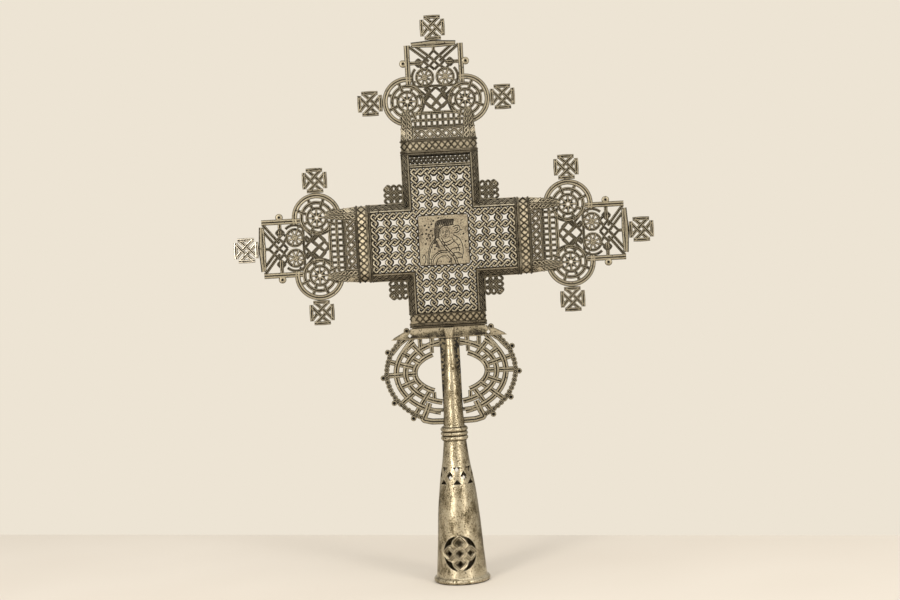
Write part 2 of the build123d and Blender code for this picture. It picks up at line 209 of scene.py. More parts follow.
def meetings(a: np.ndarray, b: np.ndarray, closed_a: bool, closed_b: bool) -> list[tuple[float, float]]:
    """Finds where two lines cross.

    Args:
        a: points of the first line.
        b: points of the second line.
        closed_a: whether the first line joins up.
        closed_b: whether the second line joins up.

    Returns:
        For each crossing, how far along each line it is, counted in points.
    """
    end_a = np.roll(a, -1, axis=0) if closed_a else a[1:]
    end_b = np.roll(b, -1, axis=0) if closed_b else b[1:]
    start_a, start_b = a[: len(end_a)], b[: len(end_b)]
    if (start_a.max(0) < start_b.min(0) - 1).any() or (start_b.max(0) < start_a.min(0) - 1).any():
        return []
    run_a, run_b = (end_a - start_a)[:, None], (end_b - start_b)[None]
    gap = start_b[None] - start_a[:, None]
    turn = run_a[..., 0] * run_b[..., 1] - run_a[..., 1] * run_b[..., 0]
    turn = np.where(abs(turn) < 1e-9, np.nan, turn)
    along_a = (gap[..., 0] * run_b[..., 1] - gap[..., 1] * run_b[..., 0]) / turn
    along_b = (gap[..., 0] * run_a[..., 1] - gap[..., 1] * run_a[..., 0]) / turn
    hits = np.argwhere((along_a >= 0) & (along_a < 1) & (along_b >= 0) & (along_b < 1))
    return [(i + along_a[i, j], j + along_b[i, j]) for i, j in hits]


# ---------------------------------------------------------------- strands and weaves
GROOVE_HALF = 0.7
SHOULDER = 0.4


@dataclass(frozen=True)
class Section:
    """Cross-section of a strand, in millimetres, with softened edges.

    groove is the depth of the line along it, as a share of half its depth, and the last field how much dirt
    and painted shade lies on its top.
    """

    width: float
    depth: float
    groove: float = 0.0
    soiled_and_shaded: float = 0.0

    def outline(self) -> Path:
        """Corners of the section, clockwise from the left, the same above and below."""
        half, deep = self.width / 2, self.depth / 2
        if self.groove:
            lip, brow = min(0.5, GROOVE_HALF / half), 1 - SHOULDER / half
            left = [(-1, 0.3), (-brow, 0.9), (-lip, 1)]
            top = [*left, (0, 1 - self.groove), *[(-x, y) for x, y in reversed(left)]]
        else:
            top = [(-1, 0.3), (-0.7, 0.85), (0, 1), (0.7, 0.85), (1, 0.3)]
        upper = [(half * x, deep * y) for x, y in top]
        return upper + [(-x, -y) for x, y in upper]

    def dirt(self) -> list[float]:
        """Dirt and painted shade at each corner of the outline: all along the flanks, and in the groove."""
        near = [1.0, 0.3 if self.groove else 0.5, self.soiled_and_shaded]
        upper = [*near, 1.0, *near[::-1]] if self.groove else [*near, *near[1::-1]]
        return upper * 2


@dataclass
class Strand:
    """One wire of the openwork: its middle line, its section, and how it goes through the weave."""

    path: Path
    section: Section
    closed: bool = False
    lift: float = 0.0
    woven: bool = True
    bend: float = 1.3


@dataclass
class Weave:
    """Strands of one plane, which pass over and under each other in turn.

    rise is how far a strand leaves the plane where it crosses another, step the length of its straight
    pieces, and reach how far from a crossing a strand is back in the plane.
    """

    rise: float = 0.4
    step: float = 0.8
    reach: float = 4.5
    strands: list[Strand] = field(default_factory=list)

    def add(self, path: Path, section: Section, **how: float | bool) -> None:
        """Adds one strand; how holds any other fields of Strand."""
        self.strands.append(Strand(list(path), section, **how))

    def add_pair(self, path: Path, section: Section, **how: float | bool) -> None:
        """Adds a strand and its mirror image across x = 0."""
        self.add(path, section, **how)
        self.add(mirrored(path), section, **how)

    def _signs(self, lines: list[np.ndarray]) -> list[list[tuple[float, int]]]:
        """Decides which strand is on top at each crossing.

        Args:
            lines: the strands' points.

        Returns:
            For each strand, its crossings in order: how far along, in points, and 1 for over or -1 for under.
        """
        marks: list[list[tuple[float, int]]] = [[] for _ in lines]
        count = 0
        for i, first in enumerate(self.strands):
            for j in range(i + 1, len(lines)):
                second = self.strands[j]
                if first.woven and second.woven:
                    for here, there in meetings(lines[i], lines[j], first.closed, second.closed):
                        marks[i].append((here, count))
                        marks[j].append((there, count))
                        count += 1
        owners: dict[int, list[int]] = {}
        for i, row in enumerate(marks):
            row.sort()
            for _, mark in row:
                owners.setdefault(mark, []).append(i)
        sign: dict[tuple[int, int], int] = {}
        done: set[int] = set()
        for start in range(len(lines)):
            queue = [start]
            while queue:
                i = queue.pop(0)
                if i in done:
                    continue
                done.add(i)
                row = marks[i]
                known = next((k for k, (_, mark) in enumerate(row) if (i, mark) in sign), None)
                base = 1 if known is None else sign[i, row[known][1]] * (-1) ** known
                for k, (_, mark) in enumerate(row):
                    sign.setdefault((i, mark), base * (-1) ** k)
                    for other in owners[mark]:
                        if other != i:
                            sign.setdefault((other, mark), -sign[i, mark])
                            queue.append(other)
        return [[(where, sign[i, mark]) for where, mark in row] for i, row in enumerate(marks)]

    def lines(self) -> list[np.ndarray]:
        """Works out the strands' middle lines with their heights, three columns each, in millimetres."""
        flat = [spaced(rounded(s.path, s.bend, s.closed), self.step, s.closed)[0] for s in self.strands]
        solid = []
        for strand, line, row in zip(self.strands, flat, self._signs(flat)):
            count = len(line)
            place = np.arange(count, dtype=float)
            height = np.full(count, strand.lift)
            wheres = [where for where, _ in row]
            for k, (where, sign) in enumerate(row):
                near = [abs(where - w) for w in wheres if w != where]
                if strand.closed:
                    near += [count - gap for gap in near]
                window = max(1.5, min([self.reach / self.step, *near]))
                gap = abs(place - where)
                gap = np.minimum(gap, count - gap) if strand.closed else gap
                height += sign * self.rise * np.where(gap < window, 0.5 + 0.5 * np.cos(pi * gap / window), 0)
            solid.append(np.column_stack([line, height]))
        return solid

    def cast(self, name: str) -> Mesh:
        """Makes the strands' mesh.

        Args:
            name: name of the new object.

        Returns:
            One object in the weave's own frame, x and y in the plane and z out of it, in metres.
        """
        lines = self.lines()
        made: list[Mesh] = []
        for section in dict.fromkeys(s.section for s in self.strands):
            profile = bpy.data.curves.new("profile", "CURVE")
            outline = profile.splines.new("POLY")
            corners = section.outline()
            outline.points.add(len(corners) - 1)
            for point, (x, y) in zip(outline.points, corners):
                point.co = (x * MM, y * MM, 0, 1)
            outline.use_cyclic_u = True
            shape = bpy.data.objects.new("profile", profile)
            bpy.context.collection.objects.link(shape)
            wire = bpy.data.curves.new(name, "CURVE")
            wire.dimensions = "3D"
            wire.twist_mode = "Z_UP"
            wire.bevel_mode = "OBJECT"
            wire.bevel_object = shape
            wire.use_fill_caps = True
            for strand, line in zip(self.strands, lines):
                if strand.section == section:
                    spline = wire.splines.new("POLY")
                    spline.points.add(len(line) - 1)
                    ones = np.ones((len(line), 1))
                    spline.points.foreach_set("co", np.hstack([line * MM, ones]).astype(np.float32).ravel())
                    spline.use_cyclic_u = strand.closed
            piece = bpy.data.objects.new(name, wire)
            bpy.context.collection.objects.link(piece)
            only(piece)
            bpy.ops.object.convert(target="MESH")
            bpy.data.objects.remove(shape)
            count = len(piece.data.vertices)
            mark_dirt_and_shade(piece, np.resize(section.dirt(), count))
            made.append(piece)
        return joined(made, name)


# ---------------------------------------------------------------- mesh tools
HAIR = 0.01


def mark_dirt_and_shade(piece: Mesh, amounts: np.ndarray) -> None:
    """Notes on each point of a mesh its dirt and painted shade, from 0 to 1, for its finish to read."""
    known = piece.data.attributes.get("dirt")
    dirt = known or piece.data.attributes.new("dirt", "FLOAT", "POINT")
    dirt.data.foreach_set("value", amounts.astype(np.float32))


def bead(upper: Path, hole: float = 0.9, soiled_and_shaded: float = 0.4, steps: int = 28) -> Mesh:
    """Turns a dimpled bead about the z axis, with dirt and painted shade in its dimples.

    Args:
        upper: its upper half from the middle to the edge, as radius and height, in millimetres.
        hole: radius of the dimples.
        soiled_and_shaded: how much dirt and painted shade lies round its edge.
        steps: how many faces go round.

    Returns:
        The bead in metres, the same above and below.
    """
    made = turned("bead", [*upper, *[(r, -h) for r, h in reversed(upper)]], steps)
    edge = max(r for r, _ in upper)
    away = np.array([hypot(point.co.x, point.co.y) / MM for point in made.data.vertices])
    mark_dirt_and_shade(made, np.where(away < hole + HAIR, 1.0, np.where(away > edge - HAIR, soiled_and_shaded, 0.0)))
    return smoothed(made, 50)


def only(*pieces: Mesh) -> None:
    """Selects these objects and nothing else, and makes the first one active."""
    bpy.ops.object.select_all(action="DESELECT")
    for piece in pieces:
        piece.select_set(True)
    bpy.context.view_layer.objects.active = pieces[0]


def joined(pieces: Sequence[Mesh], name: str) -> Mesh:
    """Joins objects into one and names it."""
    only(*pieces)
    if len(pieces) > 1:
        bpy.ops.object.join()
    piece = bpy.context.view_layer.objects.active
    piece.name = name
    piece.data.name = name
    return piece


def copied(piece: Mesh, name: str) -> Mesh:
    """Copies an object with a mesh of its own."""
    copy = piece.copy()
    copy.data = piece.data.copy()
    bpy.context.collection.objects.link(copy)
    copy.name = name
    copy.data.name = name
    return copy


def moved(piece: Mesh, place: Matrix) -> Mesh:
    """Moves an object's mesh, and turns its faces out again if the move mirrors it."""
    piece.data.transform(place)
    if place.determinant() < 0:
        piece.data.flip_normals()
    return piece


def reshaped(piece: Mesh, rule: Callable[[Vector], Vector]) -> Mesh:
    """Sends each point of a mesh where a rule says; both work in millimetres."""
    for vertex in piece.data.vertices:
        vertex.co = rule(vertex.co / MM) * MM
    return piece


def softened(piece: Mesh, width: float = 0.3, segments: int = 2, angle: float = 35) -> Mesh:
    """Bevels a solid's sharp edges and smooths its shading.

    Args:
        piece: the solid.
        width: width of the bevel in millimetres.
        segments: how many faces round off an edge.
        angle: the least angle, in degrees, at which an edge is sharp.

    Returns:
        The same object.
    """
    bevel = piece.modifiers.new("soft edges", "BEVEL")
    bevel.width = width * MM
    bevel.segments = segments
    bevel.limit_method = "ANGLE"
    bevel.angle_limit = radians(angle)
    only(piece)
    bpy.ops.object.modifier_apply(modifier=bevel.name)
    return smoothed(piece, angle)


def smoothed(piece: Mesh, angle: float = 40) -> Mesh:
    """Shades a mesh smooth across its edges below an angle in degrees."""
    only(piece)
    bpy.ops.object.shade_smooth_by_angle(angle=radians(angle))
    return piece


def lofted(name: str, rings: Sequence[Sequence[Vector]], closed: bool = True, capped: bool = True) -> Mesh:
    """Bends a grid round a row of outlines that have the same number of points.

    Args:
        name: name of the new object.
        rings: the outlines in order, in millimetres.
        closed: whether each outline joins up.
        capped: whether the open ends are filled.

    Returns:
        The solid or sheet, in metres, with its faces pointing outwards.
    """
    rows = [list(ring) + ([ring[0]] if closed else []) for ring in rings]
    bpy.ops.mesh.primitive_grid_add(x_subdivisions=len(rows[0]) - 1, y_subdivisions=len(rows) - 1)
    piece = bpy.context.object
    piece.name = name
    places = np.array([tuple(point) for row in rows for point in row], np.float32) * MM
    piece.data.vertices.foreach_set("co", places.ravel())
    bpy.ops.object.mode_set(mode="EDIT")
    bpy.ops.mesh.select_all(action="SELECT")
    bpy.ops.mesh.remove_doubles(threshold=1e-7)
    if capped:
        bpy.ops.mesh.fill_holes(sides=0)
        bpy.ops.mesh.select_all(action="SELECT")
    bpy.ops.mesh.normals_make_consistent(inside=False)
    bpy.ops.object.mode_set(mode="OBJECT")
    return piece


def plate(name: str, outline: Path, low: float, high: float) -> Mesh:
    """Fills an outline and extrudes it.

    Args:
        name: name of the new object.
        outline: corners in the plane, in millimetres.
        low: height of the underside.
        high: height of the top.

    Returns:
        A flat solid in metres.
    """
    bpy.ops.mesh.primitive_circle_add(vertices=len(outline), fill_type="NGON")
    piece = bpy.context.object
    piece.name = name
    for vertex, (x, y) in zip(piece.data.vertices, outline):
        vertex.co = (x * MM, y * MM, low * MM)
    bpy.ops.object.mode_set(mode="EDIT")
    bpy.ops.mesh.select_all(action="SELECT")
    bpy.ops.mesh.extrude_region_move(TRANSFORM_OT_translate={"value": (0, 0, (high - low) * MM)})
    bpy.ops.mesh.select_all(action="SELECT")
    bpy.ops.mesh.normals_make_consistent(inside=False)
    bpy.ops.object.mode_set(mode="OBJECT")
    return piece


def turned(name: str, outline: Path, steps: int = 96) -> Mesh:
    """Spins a closed outline round the z axis.

    Args:
        name: name of the new object.
        outline: corners as radius and height, in millimetres.
        steps: how many faces go round.

    Returns:
        The turned solid in metres.
    """
    bpy.ops.mesh.primitive_circle_add(vertices=len(outline), fill_type="NOTHING")
    piece = bpy.context.object
    piece.name = name
    for vertex, (radius, height) in zip(piece.data.vertices, outline):
        vertex.co = (radius * MM, 0, height * MM)
    bpy.ops.object.mode_set(mode="EDIT")
    bpy.ops.mesh.select_all(action="SELECT")
    bpy.ops.mesh.spin(steps=steps, angle=tau, center=(0, 0, 0), axis=(0, 0, 1))
    bpy.ops.mesh.select_all(action="SELECT")
    bpy.ops.mesh.remove_doubles(threshold=1e-7)
    bpy.ops.mesh.normals_make_consistent(inside=False)
    bpy.ops.object.mode_set(mode="OBJECT")
    return piece


def pierced(piece: Mesh, cutters: Sequence[Mesh]) -> Mesh:
    """Cuts solids out of a piece and removes them."""
    tool = joined(cutters, "cutter")
    cut = piece.modifiers.new("pierce", "BOOLEAN")
    cut.operation = "DIFFERENCE"
    cut.solver = "EXACT"
    cut.object = tool
    only(piece)
    bpy.ops.object.modifier_apply(modifier=cut.name)
    bpy.data.objects.remove(tool)
    return piece


# ---------------------------------------------------------------- finishes
def linear(colour: str) -> tuple[float, float, float, float]:
    """Turns an sRGB hex colour into the linear colour that a shader wants."""
    parts = [int(colour[k : k + 2], 16) / 255 for k in (1, 3, 5)]
    red, green, blue = (c / 12.92 if c <= 0.04045 else ((c + 0.055) / 1.055) ** 2.4 for c in parts)
    return red, green, blue, 1.0


Links = dict[str, bpy.types.NodeSocket]
Stops = Sequence[tuple[float, str | float]]
RAMP = "ShaderNodeValToRGB"


def shader_node(
    tree: bpy.types.NodeTree, kind: str, links: Links | None = None, stops: Stops = (), **settings: object
) -> bpy.types.Node:
    """Adds a node to a shader.

    Args:
        tree: the shader's node tree.
        kind: the node's type.
        links: for each input's name or number, the output that feeds it.
        stops: places on the node's colour ramp, each with a hex colour or a grey level.
        settings: values of the node's own properties, or of its inputs where it has no such property.

    Returns:
        The new node.
    """
    made = tree.nodes.new(kind)
    for name, value in settings.items():
        if hasattr(made, name):
            setattr(made, name, value)
        else:
            made.inputs[name.replace("_", " ")].default_value = value
    for name, source in (links or {}).items():
        tree.links.new(source, made.inputs[int(name) if name.isdigit() else name])
    for k, (place, value) in enumerate(stops):
        marks = made.color_ramp.elements
        mark = marks[k] if k < len(marks) else marks.new(1.0)
        mark.position = place
        mark.color = linear(value) if isinstance(value, str) else (value, value, value, 1)
    return made


@dataclass(frozen=True)
class Tarnish:
    """Metal that has dulled: bright with wear and a painted highlight, brown with dirt and painted shade.

    crown is the colour of the tops, which hands and cloth rub bright and which carry a painted highlight,
    body of the flats, and pit of corrosion pits and of the recesses and wire flanks, where it is dirt and
    painted shade. patch, grain and pit_size are the sizes, in millimetres, of the stains, of the cast skin's
    roughness and of corrosion pits. streak draws the stains out upwards, hollow is how far, in millimetres,
    the dirt and painted shade of a recess reach, relief is the height of the skin's bumps, and stain is how
    strongly the stains change the tone.
    """

    name: str
    slot: str
    crown: str
    body: str
    pit: str
    patch: float = 14.0
    grain: float = 0.9
    pit_size: float = 1.6
    pits: float = 0.25
    streak: float = 1.0
    metallic: float = 0.65
    rough: Point = (0.4, 0.65)
    hollow: float = 2.5
    relief: float = 0.12
    stain: float = 1.3

    def material(self) -> bpy.types.Material:
        """Builds the material the first time, and gives the same one again after that."""
        known = bpy.data.materials.get(self.name)
        if known:
            return known
        made = bpy.data.materials.new(self.name)
        made.use_nodes = True
        tree = made.node_tree
        tree.nodes.clear()
        place = shader_node(tree, "ShaderNodeTexCoord").outputs["Object"]
        stretch = (1, 1, 1 / self.streak)
        along = shader_node(tree, "ShaderNodeMapping", {"Vector": place}, Scale=stretch).outputs["Vector"]
        stains, grain, cells = (
            shader_node(
                tree, "ShaderNodeTexNoise", {"Vector": where},
                Scale=1 / (size * MM), Detail=detail, Roughness=rough,
            ).outputs["Fac"]
            for where, size, detail, rough in (
                (along, self.patch, 4.0, 0.6),
                (place, self.grain, 3.0, 0.65),
                (place, self.pit_size, 2.0, 0.5),
            )
        )
        pitted = shader_node(
            tree, RAMP, {"Fac": cells}, [(0.24 + 0.3 * self.pits, 1.0), (0.3 + 0.3 * self.pits, 0.0)]
        ).outputs["Color"]
        # Convex crests turn lighter: wear of the tops, and a painted highlight where they catch the light.
        edge = shader_node(tree, "ShaderNodeNewGeometry").outputs["Pointiness"]
        worn = shader_node(
            tree, RAMP, {"Fac": edge}, [(0.45, 0.0), (0.5, 0.55), (0.55, 1.0)]
        ).outputs["Color"]
        # Painted shade from ambient occlusion: recesses, gaps and the insides of hollow parts turn dark.
        depth = shader_node(tree, "ShaderNodeAmbientOcclusion", samples=6, Distance=self.hollow * MM)
        open_air = shader_node(
            tree, RAMP, {"Fac": depth.outputs["AO"]}, [(0.25, 0.0), (0.85, 1.0)]
        ).outputs["Color"]
        # Each mesh's own mask of dirt and painted shade: full on wire flanks, in grooves and in dimples.
        soiled_and_shaded = shader_node(tree, "ShaderNodeAttribute", attribute_name="dirt").outputs["Fac"]
        clean_and_unshaded = shader_node(tree, RAMP, {"Fac": soiled_and_shaded}, [(0.12, 1.0), (0.62, 0.0)]).outputs["Color"]
        # Where the metal is free of dirt and painted shade it is lit up by wear and a painted highlight,
        # and the stains are added to that.
        bare_and_unshaded = shader_node(
            tree, "ShaderNodeMath", {"0": open_air, "1": clean_and_unshaded}, operation="MULTIPLY"
        ).outputs["Value"]
        lit = shader_node(
            tree, "ShaderNodeMath", {"0": bare_and_unshaded, "1": worn}, operation="MULTIPLY"
        ).outputs["Value"]
        stained = shader_node(tree, "ShaderNodeMath", {"0": stains, "1": grain}, operation="ADD")
        tone = shader_node(
            tree, "ShaderNodeMath", {"0": stained.outputs["Value"]}, operation="MULTIPLY_ADD"
        )
        tone.inputs[1].default_value = self.stain
        tone.inputs[2].default_value = -self.stain
        share = shader_node(
            tree, "ShaderNodeMath", {"0": lit, "1": tone.outputs["Value"]}, operation="ADD", use_clamp=True
        ).outputs["Value"]
        tops = shader_node(
            tree, RAMP, {"Fac": share}, [(0.0, self.pit), (0.38, self.body), (0.85, self.crown)]
        ).outputs["Color"]
        # Painted shade: wherever either mask is dark, the pit colour takes over.
        shade = shader_node(tree, "ShaderNodeMix", {"Factor": bare_and_unshaded, "7": tops}, data_type="RGBA")
        shade.inputs[6].default_value = linear(self.pit)
        layers = {"Factor": pitted, "6": shade.outputs[2]}
        colour = shader_node(tree, "ShaderNodeMix", layers, data_type="RGBA")
        colour.inputs[7].default_value = linear(self.pit)
        smooth, dull = self.rough
        roughness = shader_node(tree, RAMP, {"Fac": share}, [(0.1, dull), (0.9, smooth)]).outputs["Color"]
        skin = shader_node(
            tree, "ShaderNodeMath", {"0": grain, "1": pitted}, operation="SUBTRACT"
        ).outputs["Value"]
        bump = shader_node(
            tree, "ShaderNodeBump", {"Height": skin}, Strength=0.7, Distance=self.relief * MM
        ).outputs["Normal"]
        surface = shader_node(
            tree, "ShaderNodeBsdfPrincipled",
            {"Base Color": colour.outputs[2], "Roughness": roughness, "Normal": bump}, Metallic=self.metallic,
        )
        shader_node(tree, "ShaderNodeOutputMaterial", {"Surface": surface.outputs["BSDF"]})
        return made


# Nickel silver as cast and soldered: warm grey tops over olive-brown, with dirt and painted shade in its
# recesses.
CAST = Tarnish("cast nickel silver", "tarnished_metal", "#958C77", "#685F4C", "#120E07", hollow=1.0)
# The lattice's wires: their round tops are rubbed bright and carry a painted highlight, and all that lies
# between them is black with dirt and painted shade.
LATTICE = Tarnish("rubbed lattice", "tarnished_metal", "#A59C87", "#675E49", "#0E0B06", hollow=0.8)
# The same cast metal where it was left thick and flat, so that its stains show as broad patches.
STRAP = Tarnish(
    "strap nickel silver", "tarnished_metal", "#A1967F", "#746B55", "#241E13", patch=7, hollow=1.2, stain=2.0
)
# Rolled sheet, hammered round and rubbed by hands: pale, with long streaks and dark specks of corrosion.
SHEET = Tarnish(
    "worn rolled silver", "worn_metal", "#BDB299", "#85795F", "#3A301C",
    patch=8, streak=2.2, pits=0.34, pit_size=1.3, metallic=0.85, rough=(0.3, 0.55), hollow=1.8, stain=3.0,
)
# Bar that is nearly black, and rough with corrosion.
BLACKENED = Tarnish(
    "blackened bar", "tarnished_metal", "#665C46", "#40382A", "#15110A", patch=6, pits=0.8, pit_size=2.4
)
# Loose wires and plaits on the sides: paler than the lattice.
PALE = Tarnish(
    "pale nickel silver", "tarnished_metal", "#AAA08A", "#786E58", "#1A150D", patch=10, hollow=1.0
)
# Engraved plate, rubbed flat: lighter than the lattice, with black left in the cut lines.
ENGRAVED = Tarnish(
    "engraved plate", "tarnished_metal", "#A59B85", "#877C68", "#1D180F",
    patch=9, pits=0.3, pit_size=1.2, hollow=1.0, relief=0.05, stain=2.0,
)
# A small cross that is nearly white, so that it stands out from the dull ones.
BRIGHT = Tarnish(
    "whitish nickel silver", "tarnished_metal", "#D9D1C0", "#A29985", "#231D13",
    hollow=1.0, rough=(0.3, 0.5),
)


def install(piece: Mesh, node: str, finish: Tarnish) -> Mesh:
    """Hands a finished piece over: its finish, the body it rides on and the frame node it stands for."""
    piece.name = piece.data.name = f"{node}_cast"
    piece.data.materials.clear()
    piece.data.materials.append(finish.material())
    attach(piece, "root")
    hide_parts(node)
    log.info("%s: %d faces, %s", piece.name, len(piece.data.polygons), finish.name)
    return piece


def install_copies(first: Mesh, places: dict[str, Matrix], finish: Tarnish) -> None:
    """Hands over a copy of a piece for each of several frame nodes, and removes the piece.

    Args:
        first: the piece to copy, in its own frame.
        places: for each node, where that frame lies.
        finish: the copies' finish.
    """
    for node, place in places.items():
        install(moved(copied(first, node), place), node, finish)
    bpy.data.objects.remove(first)


def on_both_sides(first: Mesh, word: str, arm: Arm, finish: Tarnish) -> None:
    """Hands over an arm's piece for the front and the back of the cross."""
    places = {f"{word}_{arm.word}_{side.word}": arm_frame(side, arm, CENTRE) for side in Side}
    install_copies(first, places, finish)


# ---------------------------------------------------------------- the hollow body
CENTRE = 315.0
PLAQUE_HALF = 23.2
FACE_HEIGHT = 14.5
FACE_FALL = 0.082
BODY_HALF = 35.3
RIM = 1.5
PLATE_HALF = 1.5
LATTICE_END = {Arm.TOP: 78.5, Arm.LEFT: 66.0, Arm.BOTTOM: 66.0, Arm.RIGHT: 66.0}
BAND_LONG = 13.5
SLOPE_LONG = 11.5
BAND_OUT = {Arm.TOP: 8.0, Arm.LEFT: 8.5, Arm.BOTTOM: 4.2, Arm.RIGHT: 8.5}
ENDED = (Arm.TOP, Arm.LEFT, Arm.RIGHT)

WIRE = Section(3.0, 1.6)
LACE = Section(2.5, 2.3, 0.6)


def face_height(out: float) -> float:
    """Height of the lattice's face above the middle plane, at a distance outwards from the crossing."""
    return FACE_HEIGHT - FACE_FALL * (out - PLAQUE_HALF)


@dataclass(frozen=True)
class Roof:
    """Outside of a stretch of an arm: level up to a fold on each side, then bevelled down to a low rim.

    near and far are where the stretch starts and ends; the pairs hold its sizes at those two places.
    """

    near: float
    far: float
    tops: Point
    folds: Point = (28.3, 28.3)
    edges: Point = (BODY_HALF, BODY_HALF)

    def sizes(self, out: float) -> tuple[float, float, float]:
        """Height of the top, half width at the fold and half width at the rim, at a distance outwards."""
        share = (out - self.near) / (self.far - self.near)
        top, fold, edge = (a + share * (b - a) for a, b in (self.tops, self.folds, self.edges))
        return top, fold, edge

    def place(self, point: Vector) -> Vector:
        """Carries a point of a flat pattern onto the roof; its z is the distance out of the surface."""
        top, fold, edge = self.sizes(point.y)
        across = abs(point.x)
        if across <= fold:
            return Vector((point.x, point.y, top + point.z))
        drop, run = top - RIM, edge - fold
        normal = Vector((drop, 0, run)).normalized()
        spot = Vector((across, point.y, top - drop * (across - fold) / run)) + normal * point.z
        return Vector((spot.x if point.x > 0 else -spot.x, spot.y, spot.z))

    def strap(self, out: float, sink: float, wall: float) -> list[Vector]:
        """Section of a strap over the whole arm, its outside sunk by sink and its inside wall further in."""
        top, fold, edge = self.sizes(out)
        half = [
            Vector((fold, out, top - sink)),
            Vector((edge - sink, out, RIM)),
            Vector((edge - sink, out, 0)),
            Vector((edge - sink - 1.6, out, 0)),
            Vector((fold - 0.6, out, top - wall)),
        ]
        return [*half, *[Vector((-p.x, p.y, p.z)) for p in reversed(half)]]

    def cheek(self, out: float, inner: float, sink: float, wall: float) -> list[Vector]:
        """Section of the right side alone, from a distance inner across to the rim."""
        top, fold, edge = self.sizes(out)
        return [
            Vector((inner, out, top - sink)),
            Vector((fold, out, top - sink)),
            Vector((edge - sink, out, RIM)),
            Vector((edge - sink, out, 0)),
            Vector((edge - sink - 1.6, out, 0)),
            Vector((fold - 0.6, out, top - sink - wall)),
            Vector((inner, out, top - sink - wall)),
        ]


def both_sides(piece: Mesh) -> Mesh:
    """Joins a piece that lies right of x = 0 with its mirror image."""
    other = moved(copied(piece, "other"), Matrix.Scale(-1, 4, (1, 0, 0)))
    return joined([piece, other], piece.name)


def wave(near: float, far: float, middle: float, size: float, period: float, phase: float) -> Path:
    """Sine line that runs outwards, for plaits: x swings by size about middle."""
    count = max(8, round((far - near) / period * 12))
    outs = [near + (far - near) * k / count for k in range(count + 1)]
    return [(middle + size * sin(tau * (out - near) / period + phase), out) for out in outs]


@dataclass
class LatticePanel:
    """Woven panel of an arm's face: overlapping square loops, and one zigzag wire round them."""

    columns: tuple[float, ...] = (-18.0, -6.0, 6.0, 18.0)
    rows: tuple[float, ...] = (33.0, 45.0, 57.0)
    loop_half: float = 9.0
    tooth: float = 6.0
    low: float = 24.0
    high: float = 66.0
    side: float = 27.0
    sunk: float = 0.8
    lace_pitch: float = 8.3

    def border(self) -> Path:
        """Zigzag that closes the panel's edge and hooks the loops together."""
        steps = range(9)
        bottom = [(-24 + self.tooth * k, self.low + self.tooth * (k % 2)) for k in steps]
        right = [(self.side - self.tooth * (k % 2), self.side + self.tooth * k) for k in range(7)]
        top = [(24 - self.tooth * k, self.high - self.tooth * (k % 2)) for k in steps]
        return [*bottom, *right, *top, *reversed(mirrored(right))]

    def weave(self, arm: Arm) -> Weave:
        """Lays the wires of one panel in the arm's frame."""
        weave = Weave(rise=0.42)
        for out in self.rows:
            for across in self.columns:
                weave.add(diamond((across, out), self.loop_half), WIRE, closed=True)
        weave.add(self.border(), WIRE, closed=True)
        if arm is Arm.TOP:
            bar = self.high + 2.6
            for out, width in ((bar, 3.4), (LATTICE_END[arm] - 0.4, 1.6)):
                weave.add([(-28, out), (28, out)], Section(width, 1.4, 0.5), woven=False)
            half = self.lace_pitch / 2
            zigzag = [(half * k, bar + 2.4 + 5.6 * (k % 2)) for k in range(-7, 8)]
            weave.add(zigzag, Section(1.9, 1.3, 0.6))
            weave.add([(x, 2 * bar + 10.4 - y) for x, y in zigzag], Section(1.9, 1.3, 0.6))
        return weave

    def make(self) -> None:
        """Casts the eight panels."""
        for arm in Arm:
            first = self.weave(arm).cast("lattice")
            reshaped(first, lambda p: Vector((p.x, p.y, p.z + face_height(p.y) - self.sunk)))
            on_both_sides(smoothed(first), "lattice", arm, LATTICE)


@dataclass
class EdgeStrips:
    """Bevelled strips that close an arm's sides, each with two loose waves of wire between two ridges."""

    fold: float = 28.0
    middle: float = 31.6
    swing: float = 2.0
    period: float = 12.5

    def make(self) -> None:
        """Builds one strip of each arm, and mirrors it across the arm."""
        for arm in Arm:
            end = LATTICE_END[arm]
            roof = Roof(self.fold, end, (face_height(self.fold), face_height(end)), (self.fold, self.fold))
            rings = []
            for share in (0, 1):
                ring = roof.cheek(self.fold if not share else end, self.fold - 0.3, 0.7, 1.8)
                rings.append([Vector((p.x, p.y if share else abs(p.x), p.z)) for p in ring])
            backing = softened(lofted("backing", rings), 0.25)
            weave = Weave(rise=0.3)
            weave.add([(28.4, 28.6), (28.4, end)], Section(1.3, 1.5), woven=False)
            weave.add([(34.8, 35.0), (34.8, end)], Section(1.0, 1.2), woven=False)
            near = self.middle + 1
            for phase in (0, pi):
                line = wave(near, end, self.middle, self.swing, self.period, phase)
                weave.add(line, Section(2.3, 1.1, 0.6))
            wires = reshaped(weave.cast("waves"), roof.place)
            on_both_sides(both_sides(joined([backing, smoothed(wires)], "edge")), "edge_strips", arm, PALE)


